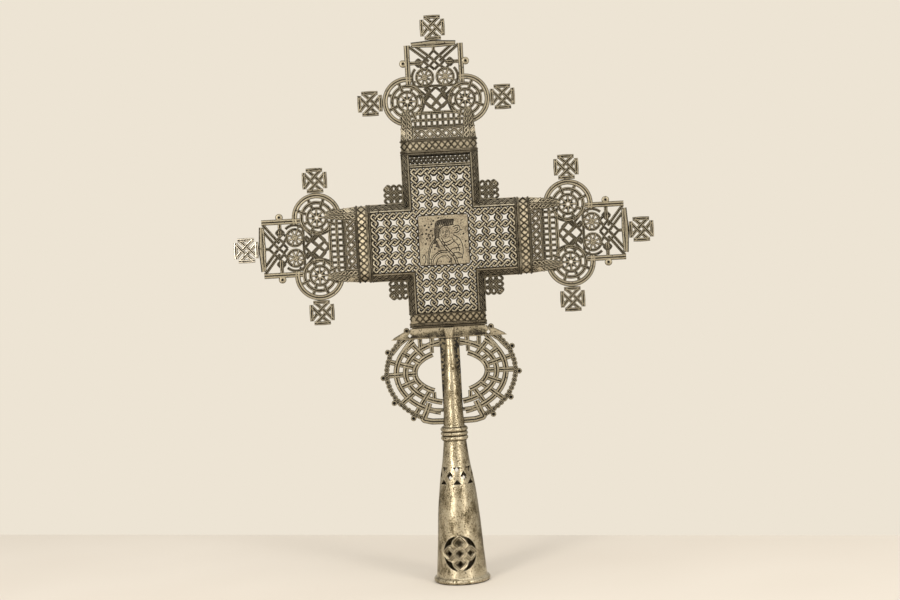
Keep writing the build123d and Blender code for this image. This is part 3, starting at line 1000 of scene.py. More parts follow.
@dataclass
class Band:
    """Strap over the end of an arm: three ridges, and a field of thin crossed threads with dark flanks."""

    proud: float = 0.5
    ridges: tuple[tuple[float, float], ...] = ((0.8, 1.6), (3.1, 2.2), (12.8, 1.4))
    field: Point = (4.4, 12.0)
    thread_gap: float = 5.8
    slant: float = 0.8
    wall: float = 2.2

    def make(self) -> None:
        """Builds the eight straps."""
        for arm in Arm:
            start = LATTICE_END[arm]
            roof = Roof(start, start + BAND_LONG, (face_height(start) + self.proud, BAND_OUT[arm]))
            ends = [roof.strap(out, self.proud, self.wall) for out in (roof.near, roof.far)]
            strap = softened(lofted("strap", ends), 0.35)
            weave = Weave(rise=0.12, reach=1.6, step=0.7)
            turned_over = arm is Arm.BOTTOM
            for out, width in self.ridges:
                out = start + (BAND_LONG - out if turned_over else out)
                ridge = [(-BODY_HALF, out), (BODY_HALF, out)]
                weave.add(ridge, Section(width, 1.3, 0.25), woven=False)
            low, high = sorted(start + (BAND_LONG - out if turned_over else out) for out in self.field)
            count = round((BODY_HALF + self.slant * (high - low)) / self.thread_gap) + 1
            for k in range(-count, count + 1):
                middle = k * self.thread_gap
                for lean in (-1, 1):
                    off = lean * self.slant * (high - low) / 2
                    cut = self.clipped([(middle - off, low), (middle + off, high)])
                    if cut:
                        weave.add(cut, Section(0.9, 0.8, soiled_and_shaded=0.42), bend=0)
            threads = smoothed(reshaped(weave.cast("threads"), roof.place))
            on_both_sides(joined([strap, threads], "band"), "band", arm, STRAP)

    def clipped(self, ends: Path) -> Path:
        """Cuts a slanting thread off at the arm's edges; nothing is left of one that lies outside them."""
        (x0, y0), (x1, y1) = ends
        limit = BODY_HALF - 0.3
        cut = []
        for x, y, far_x, far_y in ((x0, y0, x1, y1), (x1, y1, x0, y0)):
            if abs(x) > limit:
                edge = limit if x > 0 else -limit
                share = (edge - x) / (far_x - x)
                if not 0 <= share < 0.9:
                    return []
                x, y = edge, y + share * (far_y - y)
            cut.append((x, y))
        return cut


@dataclass
class Slope:
    """Shell that falls from a band to the flat terminal: a pierced zigzag row between two plaited sides."""

    fall: float = 0.6
    half_row: float = 22.6
    tooth: float = 7.5
    row_inset: float = 1.6
    row_long: float = 8.1
    row_sunk: float = 0.7
    plait_period: float = 8.4

    def make(self) -> None:
        """Builds the six slopes."""
        for arm in ENDED:
            start = LATTICE_END[arm] + BAND_LONG
            end = start + SLOPE_LONG
            roof = Roof(start, end, (BAND_OUT[arm] - self.fall, RIM + 0.4), (29.5, 27.5), (BODY_HALF, 33.8))
            ends = [roof.cheek(out, self.half_row, 0.4, 1.5) for out in (start, end)]
            cheek = softened(lofted("cheek", ends))
            sides = Weave(rise=0.3, reach=2.5)
            for middle in (25.9, 31.4):
                for phase in (0, pi):
                    plait = wave(start + 0.6, end, middle, 1.7, self.plait_period, phase)
                    sides.add(plait, Section(2.3, 1.2))
            for across in (23.0, 28.9, 34.0):
                sides.add([(across, start), (across - 0.8, end)], Section(1.0, 1.3), woven=False)
            plaits = smoothed(reshaped(sides.cast("plaits"), roof.place))
            row = Weave(rise=0.35)
            for out, width in ((start + 0.9, 2.0), (end - 0.9, 2.2)):
                row.add([(-24, out), (24, out)], Section(width, 1.7, 0.4), woven=False)
            low = start + self.row_inset
            for flip in (0, 1):
                teeth = [(self.tooth * k, low + self.row_long * ((k + flip) % 2)) for k in range(-3, 4)]
                row.add(teeth, Section(2.9, 1.5, 0.6))
            sunk = Vector((0, 0, -self.row_sunk))
            zigzags = smoothed(reshaped(row.cast("zigzags"), lambda p: roof.place(p + sunk)))
            first = joined([both_sides(joined([cheek, plaits], "sides")), zigzags], "slope")
            on_both_sides(first, "slope", arm, PALE)


# ---------------------------------------------------------------- openwork of the middle plane
@dataclass
class Finial:
    """Small cross of four flared arms, each two wires that cross round a diamond hole and an outer bar."""

    reach: float = 9.5
    flare: float = 6.2
    waist: float = 3.9
    bow: float = 0.3

    def cast(self, name: str) -> Mesh:
        """Casts the cross about its own middle, its foot towards -y."""
        weave = Weave(rise=0.35, step=0.7, reach=2.2)
        wire = [(self.flare, self.reach), (0, self.waist), (-self.waist, 0), (-self.reach, -self.flare)]
        bar = [(-self.flare - 1.3, self.reach), (0, self.reach + self.bow), (self.flare + 1.3, self.reach)]
        for turn in (0, 90, 180, 270):
            for path, width, woven in ((wire, 3.2, True), (bar, 3.5, False)):
                weave.add(swung(path, turn), Section(width, 2.3, 0.5), woven=woven)
        return smoothed(weave.cast(name))


@dataclass
class Terminal:
    """Openwork at the end of an arm, from the fold outwards.

    Two great wheels flank a knot above two rows of square holes. Two small wheels stand on them, and a head
    with braced corners and a cap closes it.
    """

    wheel: Point = (26.5, 24.5)
    wheel_r: float = 22.8
    rim_r: float = 20.4
    rings: tuple[tuple[float, float], ...] = ((14.0, 3.4), (8.8, 3.0), (3.9, 2.0))
    spokes: int = 8
    small_wheel: Point = (9.4, 45.6)
    small_r: float = 7.5
    fold_rows: tuple[float, ...] = (0.9, 6.7, 13.2)
    square_pitch: float = 5.1
    head_half: float = 24.5
    head_low: float = 40.0
    head_high: float = 75.4
    cap: Point = (20.4, 77.3)
    stud: Point = (28.6, 59.0)
    stud_r: float = 3.4
    wedge_high: float = 2.6
    wedge_long: float = 19.5
    finial_seat: float = 2.2
    finial_foot: float = 11.5
    finial_end: float = 90.7

    def great_wheel(self, weave: Weave) -> None:
        """Adds the great wheels' rims, rings and spokes; those towards the arm's middle stop short."""
        rim = arc(self.wheel, self.rim_r, -75, 104)
        weave.add_pair(rim, Section(4.9, 2.9, 0.3))
        for radius, width in self.rings:
            weave.add_pair(circle(self.wheel, radius), Section(width, 2.1, 0.6), closed=True)
        x, y = self.wheel
        for k in range(self.spokes):
            angle = tau / self.spokes * (k + 0.5)
            full = cos(angle) > -0.5
            outer = (8.6, 20.0 if full else 14.4, Section(3.1, 2.0, 0.6), angle)
            inner = (1.6, 8.8, Section(2.1, 2.0), angle + pi / self.spokes)
            for first, last, section, way in (outer, inner):
                weave.add_pair([(x + r * cos(way), y + r * sin(way)) for r in (first, last)], section)

    def squares(self, weave: Weave) -> None:
        """Adds the bars by the fold and the uprights that make two rows of square holes."""
        for out, half, width in zip(self.fold_rows, (27.0, 23.5, 20.5), (2.6, 3.0, 3.4)):
            weave.add([(-half, out), (half, out)], Section(width, 2.5, 0.4))
        for low, high, count in zip(self.fold_rows, self.fold_rows[1:], (9, 7)):
            for k in range(count):
                across = self.square_pitch * (k - (count - 1) / 2)
                weave.add([(across, low - 0.6), (across, high + 0.6)], Section(2.7, 2.0, 0.6))

    def middle_knot(self, weave: Weave) -> None:
        """Adds the knot between the great wheels, and the links that tie it to them."""
        weave.add_pair(diamond((5.4, 23.4), 5.6), LACE, closed=True, bend=0.9)
        weave.add([(0, 14.6), (12.6, 25.6), (0, 36.4), (-12.6, 25.6)], LACE, closed=True)
        weave.add_pair([(-10.4, 35.8), (0, 24.4), (4.6, 18.6), (1.0, 14.0)], LACE)
        weave.add_pair([(22.0, 39.5), (15.4, 34.6), (9.4, 29.4), (4.4, 33.6), (9.6, 38.0)], LACE)
        weave.add_pair([(15.6, 30.0), (11.4, 20.6), (14.6, 12.6)], LACE)
        weave.add([(-17.5, 37.6), (17.5, 37.6)], LACE)

    def small_wheels(self, weave: Weave) -> None:
        """Adds the two small wheels and the arcs beside them."""
        weave.add_pair(circle(self.small_wheel, self.small_r, 40), Section(2.9, 2.2, 0.5), closed=True)
        weave.add_pair(circle(self.small_wheel, 2.1, 20), Section(1.8, 2.3), closed=True)
        for k in range(4):
            angle = radians(45 * k + 22.5)
            x, y = self.small_wheel
            cross = [(x + r * cos(angle), y + r * sin(angle)) for r in (-7.8, 0, 7.8)]
            weave.add_pair(cross, Section(2.1, 1.7))
        weave.add_pair(arc(self.small_wheel, 11.6, -52, 44), Section(2.6, 2.1, 0.5))

    def head(self, weave: Weave) -> None:
        """Adds the head's bars, braces, knots and cap."""
        side, high = self.head_half, self.head_high
        cap, crest = self.cap
        brace, loop = Section(2.8, 2.3, 0.5), Section(2.4, 2.2, 0.5)
        weave.add_pair([(side, self.head_low), (side, high)], Section(5.0, 2.9, 0.35), woven=False)
        weave.add([(-cap, high + 0.6), (0, crest), (cap, high + 0.6)], Section(4.0, 2.9), woven=False)
        under = [(1 - cap, high), (0, crest - 2.6), (cap - 1, high)]
        weave.add(under, Section(4.2, 2.6, 0.3), woven=False)
        weave.add_pair([(22.9, 74.6), (4.8, 60.0)], brace)
        weave.add_pair([(19.2, 76.6), (1.2, 62.0)], brace)
        weave.add(diamond((0, 65.2), 4.6), loop, closed=True, bend=0.8)
        weave.add_pair(diamond((4.8, 60.4), 4.8), loop, closed=True, bend=0.8)
        weave.add_pair(diamond((9.6, 56.4), 4.2), loop, closed=True, bend=0.8)
        weave.add([(0, 68.6), (0, 76.4)], Section(3.0, 2.3, 0.6))
        weave.add_pair([(10.6, self.stud[1]), (23.4, self.stud[1])], Section(3.4, 2.5, 0.5))
        weave.add_pair(diamond((14.4, self.stud[1]), 3.6), loop, closed=True, bend=0.8)
        weave.add_pair([(0, 52.6), (4.4, 56.6), (9.5, 53.2)], LACE)

    def wedge(self) -> Mesh:
        """Tapered, plaited cheek that runs from the slope's side into the great wheel, on both faces."""
        high = self.wedge_high
        outside = [(33.8, 0), (33.2, 5), (31.4, 12), (29.6, 17.2)]
        inside = [(27.0, 17.2), (24.8, 12), (23.2, 5)]
        block = plate("wedge", [(22.8, 0), *outside, *inside], -high, high)
        pieces = [softened(block, 0.5, 3)]
        for sense in (1, -1):
            plait = Weave(rise=0.3, reach=2.2)
            for phase in (0, pi):
                for near, far, middle in ((0, 16, 25.4), (0, 14, 31.0)):
                    plait.add(wave(near, far, middle, 1.5, 8.0, phase), Section(2.2, 1.2))
            plait.add([(28.3, 0), (28.3, 16.6)], Section(1.1, 1.2), woven=False)
            wires = reshaped(plait.cast("plait"), lambda p: self.tapered(p, sense))
            if sense < 0:
                wires.data.flip_normals()
            pieces.append(smoothed(wires))
        return both_sides(joined(pieces, "wedge"))

    def tapered(self, point: Vector, sense: int) -> Vector:
        """Draws a plait in towards the wedge's point and lays it on one of its two faces."""
        share = point.y / self.wedge_long
        middle = 28.2 - 1.2 * share
        across = middle + (point.x - middle) * (1 - 0.6 * max(share, 0.0) ** 1.5)
        return Vector((across, point.y, sense * (self.wedge_high + point.z)))

    def studs(self) -> Mesh:
        """Two dimpled round studs outside the head's sides."""
        radius, half = self.stud_r, PLATE_HALF
        upper = [(0, 0.9), (0.9, 1.1), (1.2, half), (radius - 0.7, half), (radius, half - 0.6)]
        return both_sides(moved(bead(upper, steps=32), shift(*self.stud)))

    def make(self) -> None:
        """Casts the three terminals."""
        weave = Weave(rise=0.38, reach=3.0, step=0.75)
        for part in (self.great_wheel, self.squares, self.middle_knot, self.small_wheels, self.head):
            part(weave)
        first = joined([smoothed(weave.cast("terminal")), self.wedge(), self.studs()], "terminal")
        install_copies(first, {f"terminal_{arm.word}": self.at_fold(arm) for arm in ENDED}, CAST)
        self.finials()

    def at_fold(self, arm: Arm) -> Matrix:
        """Frame of a terminal: an arm's frame, moved out to the fold where its slope ends."""
        return arm_frame(Side.FRONT, arm, CENTRE) @ shift(0, LATTICE_END[arm] + BAND_LONG + SLOPE_LONG)

    def finials(self) -> None:
        """Sets a small cross on each great wheel and on the cap of every terminal."""
        first = Finial().cast("finial")
        seat = sqrt(self.wheel_r**2 - self.finial_seat**2) + self.finial_foot
        spots = {
            "end": (0.0, self.finial_end, 0.0),
            "first": (self.wheel[0] + seat, self.wheel[1], -90.0),
            "second": (-self.wheel[0] - seat, self.wheel[1], 90.0),
        }
        for arm in ENDED:
            for word, (across, out, turn) in spots.items():
                spot = self.at_fold(arm) @ shift(across, out) @ Matrix.Rotation(radians(turn), 4, "Z")
                bright = arm is Arm.LEFT and word == "end"
                finial = moved(copied(first, "finial"), spot)
                install(finial, f"finial_{arm.word}_{word}", BRIGHT if bright else CAST)
        bpy.data.objects.remove(first)


@dataclass
class CornerKnot:
    """Woven knot of nine small hooked square loops in the corner between two arms."""

    first: float = 2.9
    pitch: float = 5.15
    loop_half: float = 3.9

    def make(self) -> None:
        """Casts the four knots."""
        weave = Weave(rise=0.32, reach=2.0, step=0.6)
        middles = [BODY_HALF + self.first + self.pitch * k for k in range(3)]
        for x in middles:
            for y in middles:
                weave.add(diamond((x, y), self.loop_half), Section(2.5, 2.0, 0.4), closed=True, bend=1.1)
        near, far = BODY_HALF + 0.4, middles[-1]
        for line in ([(near, near), (far, near)], [(near, near), (near, far)]):
            weave.add(line, Section(1.6, 2.2), woven=False)
        weave.add([(far, far), (far + 2.6, far + 2.6)], Section(3.6, 2.0, 0.3), woven=False)
        places = {
            f"corner_knot_{upright}_{across}": facing(Side.FRONT, CENTRE) @ Matrix.Diagonal((right, up, 1, 1))
            for across, right in (("left", -1), ("right", 1))
            for upright, up in (("lower", -1), ("upper", 1))
        }
        install_copies(smoothed(weave.cast("knot")), places, CAST)


@dataclass
class Ring:
    """Half rings of three woven bands and a chain of beads, below the crossing on both sides of the spine."""

    middle: float = 193.5
    bands: tuple[Point, ...] = ((33.5, 19.5), (42.0, 28.4), (50.5, 37.8))
    band_wide: float = 5.3
    chain: Point = (59.3, 46.8)
    spokes: tuple[tuple[float, bool], ...] = (
        (46, False), (30.5, False), (15, True), (-1, True), (-19, False), (-36.5, True), (-54, True)
    )
    chain_span: Point = (38.5, -60.0)
    clusters: tuple[float, ...] = (24.0, -3.0, -31.0, -54.0)
    cluster_out: Point = (62.7, 51.0)
    cluster_half: float = 3.4
    bead_r: float = 2.7
    eyes: int = 22
    thick: float = 3.4

    def at(self, axes: Point, angle: float) -> Point:
        """A point of an ellipse about the ring's middle, at a parametric angle in degrees."""
        return axes[0] * cos(radians(angle)), self.middle + axes[1] * sin(radians(angle))

    def weave(self) -> Weave:
        """Lays the bands, spokes, bars and chain of the right half."""
        weave = Weave(rise=0.4, reach=3.6)
        band = Section(self.band_wide, 2.6, 0.55)
        spans = ((-61, 61), (-77, 77), (-77, 50))
        for axes, (first, last) in zip(self.bands, spans):
            weave.add(arc((0, self.middle), axes, first, last, 90), band)
        for angle, long in self.spokes:
            start = self.at((self.bands[0][0] - 0.5, self.bands[0][1] - 0.5), angle)
            end = self.at(self.chain if long else self.bands[2], angle)
            weave.add([start, end], Section(4.9, 2.2, 0.6))
        for sense in (-1, 1):
            across, up = self.at(self.bands[0], 61 * sense)
            post = [(across + 0.4, up + sense), (across + 0.4, up + 8.5 * sense)]
            weave.add(post, Section(3.8, 2.4, 0.4))
        weave.add([(9.0, 225), (9.0, 217.6), (25, 219.8)], Section(2.0, 2.4), woven=False)
        weave.add([(16.2, 226.0), (16.2, 220.0)], Section(4.6, 2.6, 0.4), woven=False)
        weave.add([(27.2, 226.0), (27.0, 217.0)], Section(4.2, 2.6, 0.5), woven=False)
        sole = [(8.8, 148.0), (20.0, 148.3), (28.2, 150.4), (24.4, 158.0), (21.6, 165.5)]
        weave.add(sole, Section(5.6, 3.2, 0.35), woven=False)
        weave.add([(9.0, 158.4), (22.5, 159.4)], Section(3.4, 2.6, 0.3), woven=False)
        weave.add([(32.5, 227.5), (42.5, 215.0)], Section(4.2, 2.8, 0.5))
        weave.add([(38.5, 226.5), (45.5, 221.6), (53.6, 212.4)], Section(4.0, 2.6, 0.5))
        weave.add(arc((0, self.middle), self.chain, 40, -62, 60), Section(3.2, 2.4), woven=False)
        return weave

    def beads(self) -> list[Mesh]:
        """Dimpled beads side by side along the chain, with larger ones in clusters."""
        radius, half = self.bead_r, self.thick / 2
        upper = [(0, 0.7), (0.6, 0.9), (0.9, half), (radius - 0.9, half + 0.1), (radius - 0.1, half - 0.7)]
        first = bead(upper, hole=0.95, soiled_and_shaded=0.0)
        start, end = self.chain_span
        spots: list[tuple[Sequence[float], float]] = []
        for k in range(self.eyes):
            spots.append((self.at(self.chain, start + (end - start) * k / (self.eyes - 1)), 0.96))
        for angle in self.clusters:
            here, out = Vector(self.at(self.chain, angle)), Vector(self.at(self.cluster_out, angle))
            along = (out - here).normalized().orthogonal() * self.cluster_half
            spots += [(out, 1.0), (here + along, 0.86), (here - along, 0.86)]
        made = [moved(copied(first, "bead"), shift(*spot) @ Matrix.Scale(size, 4)) for spot, size in spots]
        bpy.data.objects.remove(first)
        return made

    def make(self) -> None:
        """Casts the right half and its mirror image."""
        first = joined([smoothed(self.weave().cast("ring")), *self.beads()], "ring")
        front, flip = facing(Side.FRONT), Matrix.Scale(-1, 4, (1, 0, 0))
        install_copies(first, {"ring_right": front, "ring_left": front @ flip}, CAST)


@dataclass
class LowerPlate:
    """Plain plate below the body: pointed wings, a bead on each shoulder and raised seams along its edges."""

    low: float = 225.0
    top: float = 235.5
    half: float = 33.6
    wing: float = 53.6
    thick: float = 4.0
    bead_at: Point = (38.9, 233.2)
    spine_low: float = 144.5
    boss: tuple[tuple[float, ...], ...] = (
        (0, 235.5, 5.6, 224.0, 3.6), (2.4, 234.4, 4.6, 225.0, 2.7), (3.2, 232.6, 2.8, 226.4, 1.6)
    )

    def make(self) -> None:
        """Builds the plate, the spine below it and the boss where the stem meets it."""
        half, top = self.thick / 2, self.top
        tip = [(self.wing, self.low), (41.5, 232.2), (36.2, 231.2)]
        right = [*tip, (self.half, top), (26, top), (26, 242.4)]
        outline = [(0, self.low), *right, *reversed(mirrored(right))]
        slab = softened(plate("slab", outline, -half, half), 0.5, 3)
        pierced(slab, [plate("hole", diamond((across, 228.4), 1.9), -4, 4) for across in (-36.2, 36.2)])
        seams = Weave(step=0.9)
        edge = [(34.6, 234.4), (36.6, 231.8), (41.6, 231.4), (52.0, 225.8), (36.5, 225.9)]
        seams.add_pair(edge, Section(1.2, 4.6), woven=False)
        seams.add([(-34, 225.8), (34, 225.8)], Section(1.3, 4.5), woven=False)
        seams.add([(-33.2, 234.9), (33.2, 234.9)], Section(1.2, 4.6), woven=False)
        seams.add_pair([(7.2, 234.5), (10.4, 230.2), (7.4, 226.0)], Section(1.1, 4.5), woven=False)
        upper = [(0, 0.9), (0.6, 1.1), (0.9, half), (1.8, half + 0.1), (2.7, half - 0.8)]
        beads = both_sides(moved(bead(upper), shift(*self.bead_at)))
        whole = joined([smoothed(slab, 30), smoothed(seams.cast("seams")), beads], "lower plate")
        install(moved(whole, facing(Side.FRONT)), "lower_plate", STRAP)
        self.spine()
        self.keystones()

    def spine(self) -> None:
        """Flat bar behind the stem, pitted and dark along its edges."""
        low, high, half = self.spine_low, self.low, self.thick / 2
        bar = plate("spine", [(-9, low), (9, low), (9, high), (-9, high)], -half, half)
        install(moved(softened(bar, 0.6, 3), facing(Side.FRONT)), "spine", BLACKENED)

    def keystones(self) -> None:
        """Faceted boss over the stem's tip, one on each side."""
        half = self.thick / 2
        rings = []
        for lift, high, top, low, bottom in self.boss:
            corners = [(-top, high), (top, high), (bottom, low), (-bottom, low)]
            rings.append([Vector((x, y, half + lift)) for x, y in corners])
        first = softened(lofted("keystone", rings), 0.4)
        install_copies(first, {f"keystone_{side.word}": facing(side) for side in Side}, STRAP)


# ---------------------------------------------------------------- the figured plate
@dataclass(frozen=True)
class Stroke:
    """One cut of the engraver's tool, in the plate's plane: its line, its half width and its depth."""

    path: tuple[Point, ...]
    width: float = 0.28
    depth: float = 0.35


def curve_through(points: Sequence[Point], steps: int = 8) -> Path:
    """Smooth open line through a few points."""
    row = [Vector(p) for p in points]
    row = [2 * row[0] - row[1], *row, 2 * row[-1] - row[-2]]
    path: Path = []
    for a, b, c, d in zip(row, row[1:], row[2:], row[3:]):
        for k in range(steps):
            t = k / steps
            bend = (2 * a - 5 * b + 4 * c - d) * t**2 + (3 * b - a - 3 * c + d) * t**3
            spot = 0.5 * (2 * b + (c - a) * t + bend)
            path.append((spot.x, spot.y))
    return [*path, tuple(points[-1])]


@dataclass
class Plaque:
    """Square plate at the crossing, engraved with a veiled half figure of a plain, calm design.

    The head is built on a drawing book's proportions: eyes halfway down the oval, the nose's end halfway from
    them to the chin, and the mouth a third of the way from there.
    """

    half: float = PLAQUE_HALF
    top: float = 15.0
    thick: float = 2.4
    corner: float = 2.6
    cells: int = 170
    head: Point = (1.4, 6.6)
    head_size: Point = (4.1, 5.3)
    tilt: float = 7.0
    edge_wide: float = 1.1
    edge_fall: float = 0.45
    warp: float = 0.12
    warp_patch: float = 6.25
    seam_wide: float = 1.3
    black_depth: float = 0.2

    def on_head(self, across: float, up: float) -> Point:
        """A point of the head: across and up run from -1 to 1 over its oval, turned by its tilt."""
        ((x, y),) = swung([(across * self.head_size[0], up * self.head_size[1])], self.tilt)
        return self.head[0] + x, self.head[1] + y

    def face(self) -> list[Stroke]:
        """The face's outline, brows, eyes, nose and mouth."""
        lines: list[Sequence[Point]] = [arc((0, 0), 1, 150, 390, 28)]
        for side in (-1, 1):
            lines.append(arc((0.42 * side, 0.03), (0.2, 0.07), 0, 360, 12))
            lines.append([(side * x, y) for x, y in ((0.14, 0.2), (0.4, 0.29), (0.68, 0.2))])
        lines.append([(0.12, 0.2), (0.1, -0.2), (0.18, -0.42), (0, -0.48), (-0.12, -0.43)])
        lines.append([(-0.26, -0.66), (0, -0.63), (0.26, -0.66)])
        lines.append([(-0.12, -0.76), (0.12, -0.76)])
        return [Stroke(tuple(self.on_head(*point) for point in line), 0.17, 0.2) for line in lines]

    def veil(self) -> list[Stroke]:
        """The flat-topped veil, its fall to the shoulder, and the close strokes that darken both."""
        outside = [(-7.4, 0.6), (-8.0, 7.6), (-6.8, 14.6), (-4.4, 17.6), (2.4, 18.5), (9.8, 18.2)]
        inside = [(-4.6, 1.4), (-4.0, 6.4), (-2.8, 10.2), (0.6, 12.8), (4.6, 12.8), (9.9, 13.8)]
        strokes = [Stroke(tuple(curve_through(line)), 0.3, 0.4) for line in (outside, inside)]
        for k in range(27):
            x = -5.4 + 0.56 * k
            strokes.append(Stroke(((x + 0.9, 17.8), (x - 0.5, 12.9 + 0.5 * (k % 3))), 0.2, 0.2))
        for k in range(20):
            y = 1.4 + 0.72 * k
            strokes.append(Stroke(((-7.5, y), (-4.0 + 0.4 * (k % 2), y + 1.1)), 0.2, 0.2))
        for k in range(9):
            near = (-8.6 + 0.3 * k, 0.2 - 0.85 * k)
            strokes.append(Stroke((near, (near[0] + 2.6, near[1] - 1.0)), 0.2, 0.2))
        return strokes

    def robe(self) -> list[Stroke]:
        """Shoulders, the crossed stole and the round folds in front."""
        lines: list[Sequence[Point]] = [
            [(-7.2, 2.6), (-12.4, -4.6), (-15.0, -13.0), (-15.8, -22.4)],
            [(-7.6, 0.6), (-11.6, -6.0), (-13.8, -13.4), (-14.6, -22.4)],
            [(8.8, 4.2), (14.0, 0.6), (16.6, -5.0), (17.0, -12.0), (15.6, -18.0)],
            [(-4.4, 1.6), (-1.0, -4.6), (3.4, -10.8), (8.0, -16.6), (10.2, -22.4)],
            [(-2.4, 2.0), (0.6, -3.6), (5.2, -9.8), (9.8, -15.6), (12.0, -22.4)],
            [(7.4, 1.4), (9.6, -2.0), (12.4, -5.0), (13.8, -10.6)],
            [(4.6, -11.0), (8.0, -8.2), (14.2, -7.8)],
            [(-2.2, -1.6), (2.0, -2.4), (6.6, -0.4)],
            [(0.2, -5.2), (4.8, -4.6), (8.6, -2.2)],
            [(8.6, -12.4), (12.4, -12.0), (15.6, -14.0)],
            [(10.6, -17.6), (13.6, -16.6), (16.2, -17.0)],
            [(2.4, -13.8), (5.4, -17.8), (6.2, -22.4)],
            [(-20.4, -15.6), (-18.6, -12.6), (-17.2, -15.8), (-17.8, -20.0)],
            [(9.0, 11.6), (13.4, 12.6), (15.2, 9.6), (13.2, 6.4), (9.4, 5.8)],
            [(10.2, 9.8), (12.4, 10.4), (13.2, 8.8), (11.4, 7.6)],
        ]
        for reach in (12.4, 10.8, 7.6):
            turns = np.linspace(pi, 0.42 * pi, 8)
            lines.append([(-0.4 + reach * cos(t), -22.6 + 1.05 * reach * sin(t)) for t in turns])
        return [Stroke(tuple(curve_through(line)), 0.3, 0.36) for line in lines]

    def punches(self) -> list[Stroke]:
        """Punched dots beside the head, as very short strokes."""
        spots = [
            (-16.6, 13.6), (-15.4, 9.8), (-13.2, 12.0), (-16.0, 6.2), (-13.4, 5.2), (-11.4, 8.8),
            (-15.6, 1.6), (-16.8, -3.0), (-19.6, 5.8), (-10.6, 14.6), (-8.8, 17.6), (-4.2, 20.0),
            (-10.2, 4.0), (-12.6, 2.2), (-8.4, -2.6), (-7.2, -5.6), (-8.8, -8.0), (18.0, 4.6),
            (19.6, -2.2), (8.2, -14.6), (4.2, -20.4),
        ]
        return [Stroke(((x, y), (x + 0.3, y + 0.2)), 0.55, 0.45) for x, y in spots]

    def carved(self, points: np.ndarray) -> np.ndarray:
        """Depth of the engraving at each of some points of the plate."""
        depth = np.zeros(len(points))
        for stroke in [*self.face(), *self.veil(), *self.robe(), *self.punches()]:
            line = np.array(stroke.path)
            start, run = line[:-1], np.diff(line, axis=0)
            gap = points[:, None] - start[None]
            along = np.clip((gap * run).sum(2) / np.maximum((run * run).sum(1), 1e-9), 0, 1)
            near = np.linalg.norm(gap - along[..., None] * run[None], axis=2).min(1)
            depth = np.maximum(depth, stroke.depth * np.exp(-((near / stroke.width) ** 2)))
        return depth

    def make(self) -> None:
        """Engraves a fine grid, and closes it below into a plate."""
        bpy.ops.mesh.primitive_grid_add(x_subdivisions=self.cells, y_subdivisions=self.cells)
        first = bpy.context.object
        count = len(first.data.vertices)
        square = np.empty(count * 3, np.float32)
        first.data.vertices.foreach_get("co", square)
        flat = square.reshape(-1, 3)[:, :2].astype(float)
        half, corner = self.half, self.corner
        flat *= half
        over = np.maximum(abs(flat) - (half - corner), 0)
        longest = over.max(1)
        share = np.where(longest > 0, longest / np.maximum(np.linalg.norm(over, axis=1), 1e-9), 1)
        flat = np.sign(flat) * (np.minimum(abs(flat), half - corner) + over * share[:, None])
        depth = self.carved(flat)
        inwards = half - abs(flat).max(1)
        edge = np.clip(inwards / self.edge_wide, 0, 1)
        high = self.top - self.edge_fall * (1 - edge) ** 2 - depth
        high += [self.warp * noise.noise(Vector((x, y, 0)) / self.warp_patch) for x, y in flat]
        places = np.column_stack([flat, high]).astype(np.float32) * MM
        first.data.vertices.foreach_set("co", places.ravel())
        seam = 1 - inwards / self.seam_wide
        mark_dirt_and_shade(first, np.clip(np.maximum(depth / self.black_depth, seam), 0, 1))
        only(first)
        bpy.ops.object.mode_set(mode="EDIT")
        bpy.ops.mesh.select_all(action="DESELECT")
        bpy.ops.mesh.select_mode(type="EDGE")
        bpy.ops.mesh.select_non_manifold()
        bpy.ops.mesh.extrude_region_move(TRANSFORM_OT_translate={"value": (0, 0, -self.thick * MM)})
        bpy.ops.mesh.edge_face_add()
        bpy.ops.mesh.select_all(action="SELECT")
        bpy.ops.mesh.normals_make_consistent(inside=False)
        bpy.ops.mesh.select_mode(type="VERT")
        bpy.ops.object.mode_set(mode="OBJECT")
        smoothed(first, 50)
        install_copies(first, {f"plaque_{side.word}": facing(side, CENTRE) for side in Side}, ENGRAVED)


# ---------------------------------------------------------------- stem and socket
def dented(piece: Mesh, size: float, patch: float) -> Mesh:
    """Pushes a turned piece's wall in and out a little, so that it doesn't look machined.

    Args:
        piece: a piece turned about the z axis.
        size: the most that a point moves, in millimetres.
        patch: distance between dents, in millimetres.

    Returns:
        The same object.
    """
    def rule(point: Vector) -> Vector:
        radius = hypot(point.x, point.y)
        if radius < 1:
            return point
        push = size * noise.noise(Vector((point.x, point.y, 0.5 * point.z)) / patch)
        return Vector((point.x * (1 + push / radius), point.y * (1 + push / radius), point.z))

    return reshaped(piece, rule)


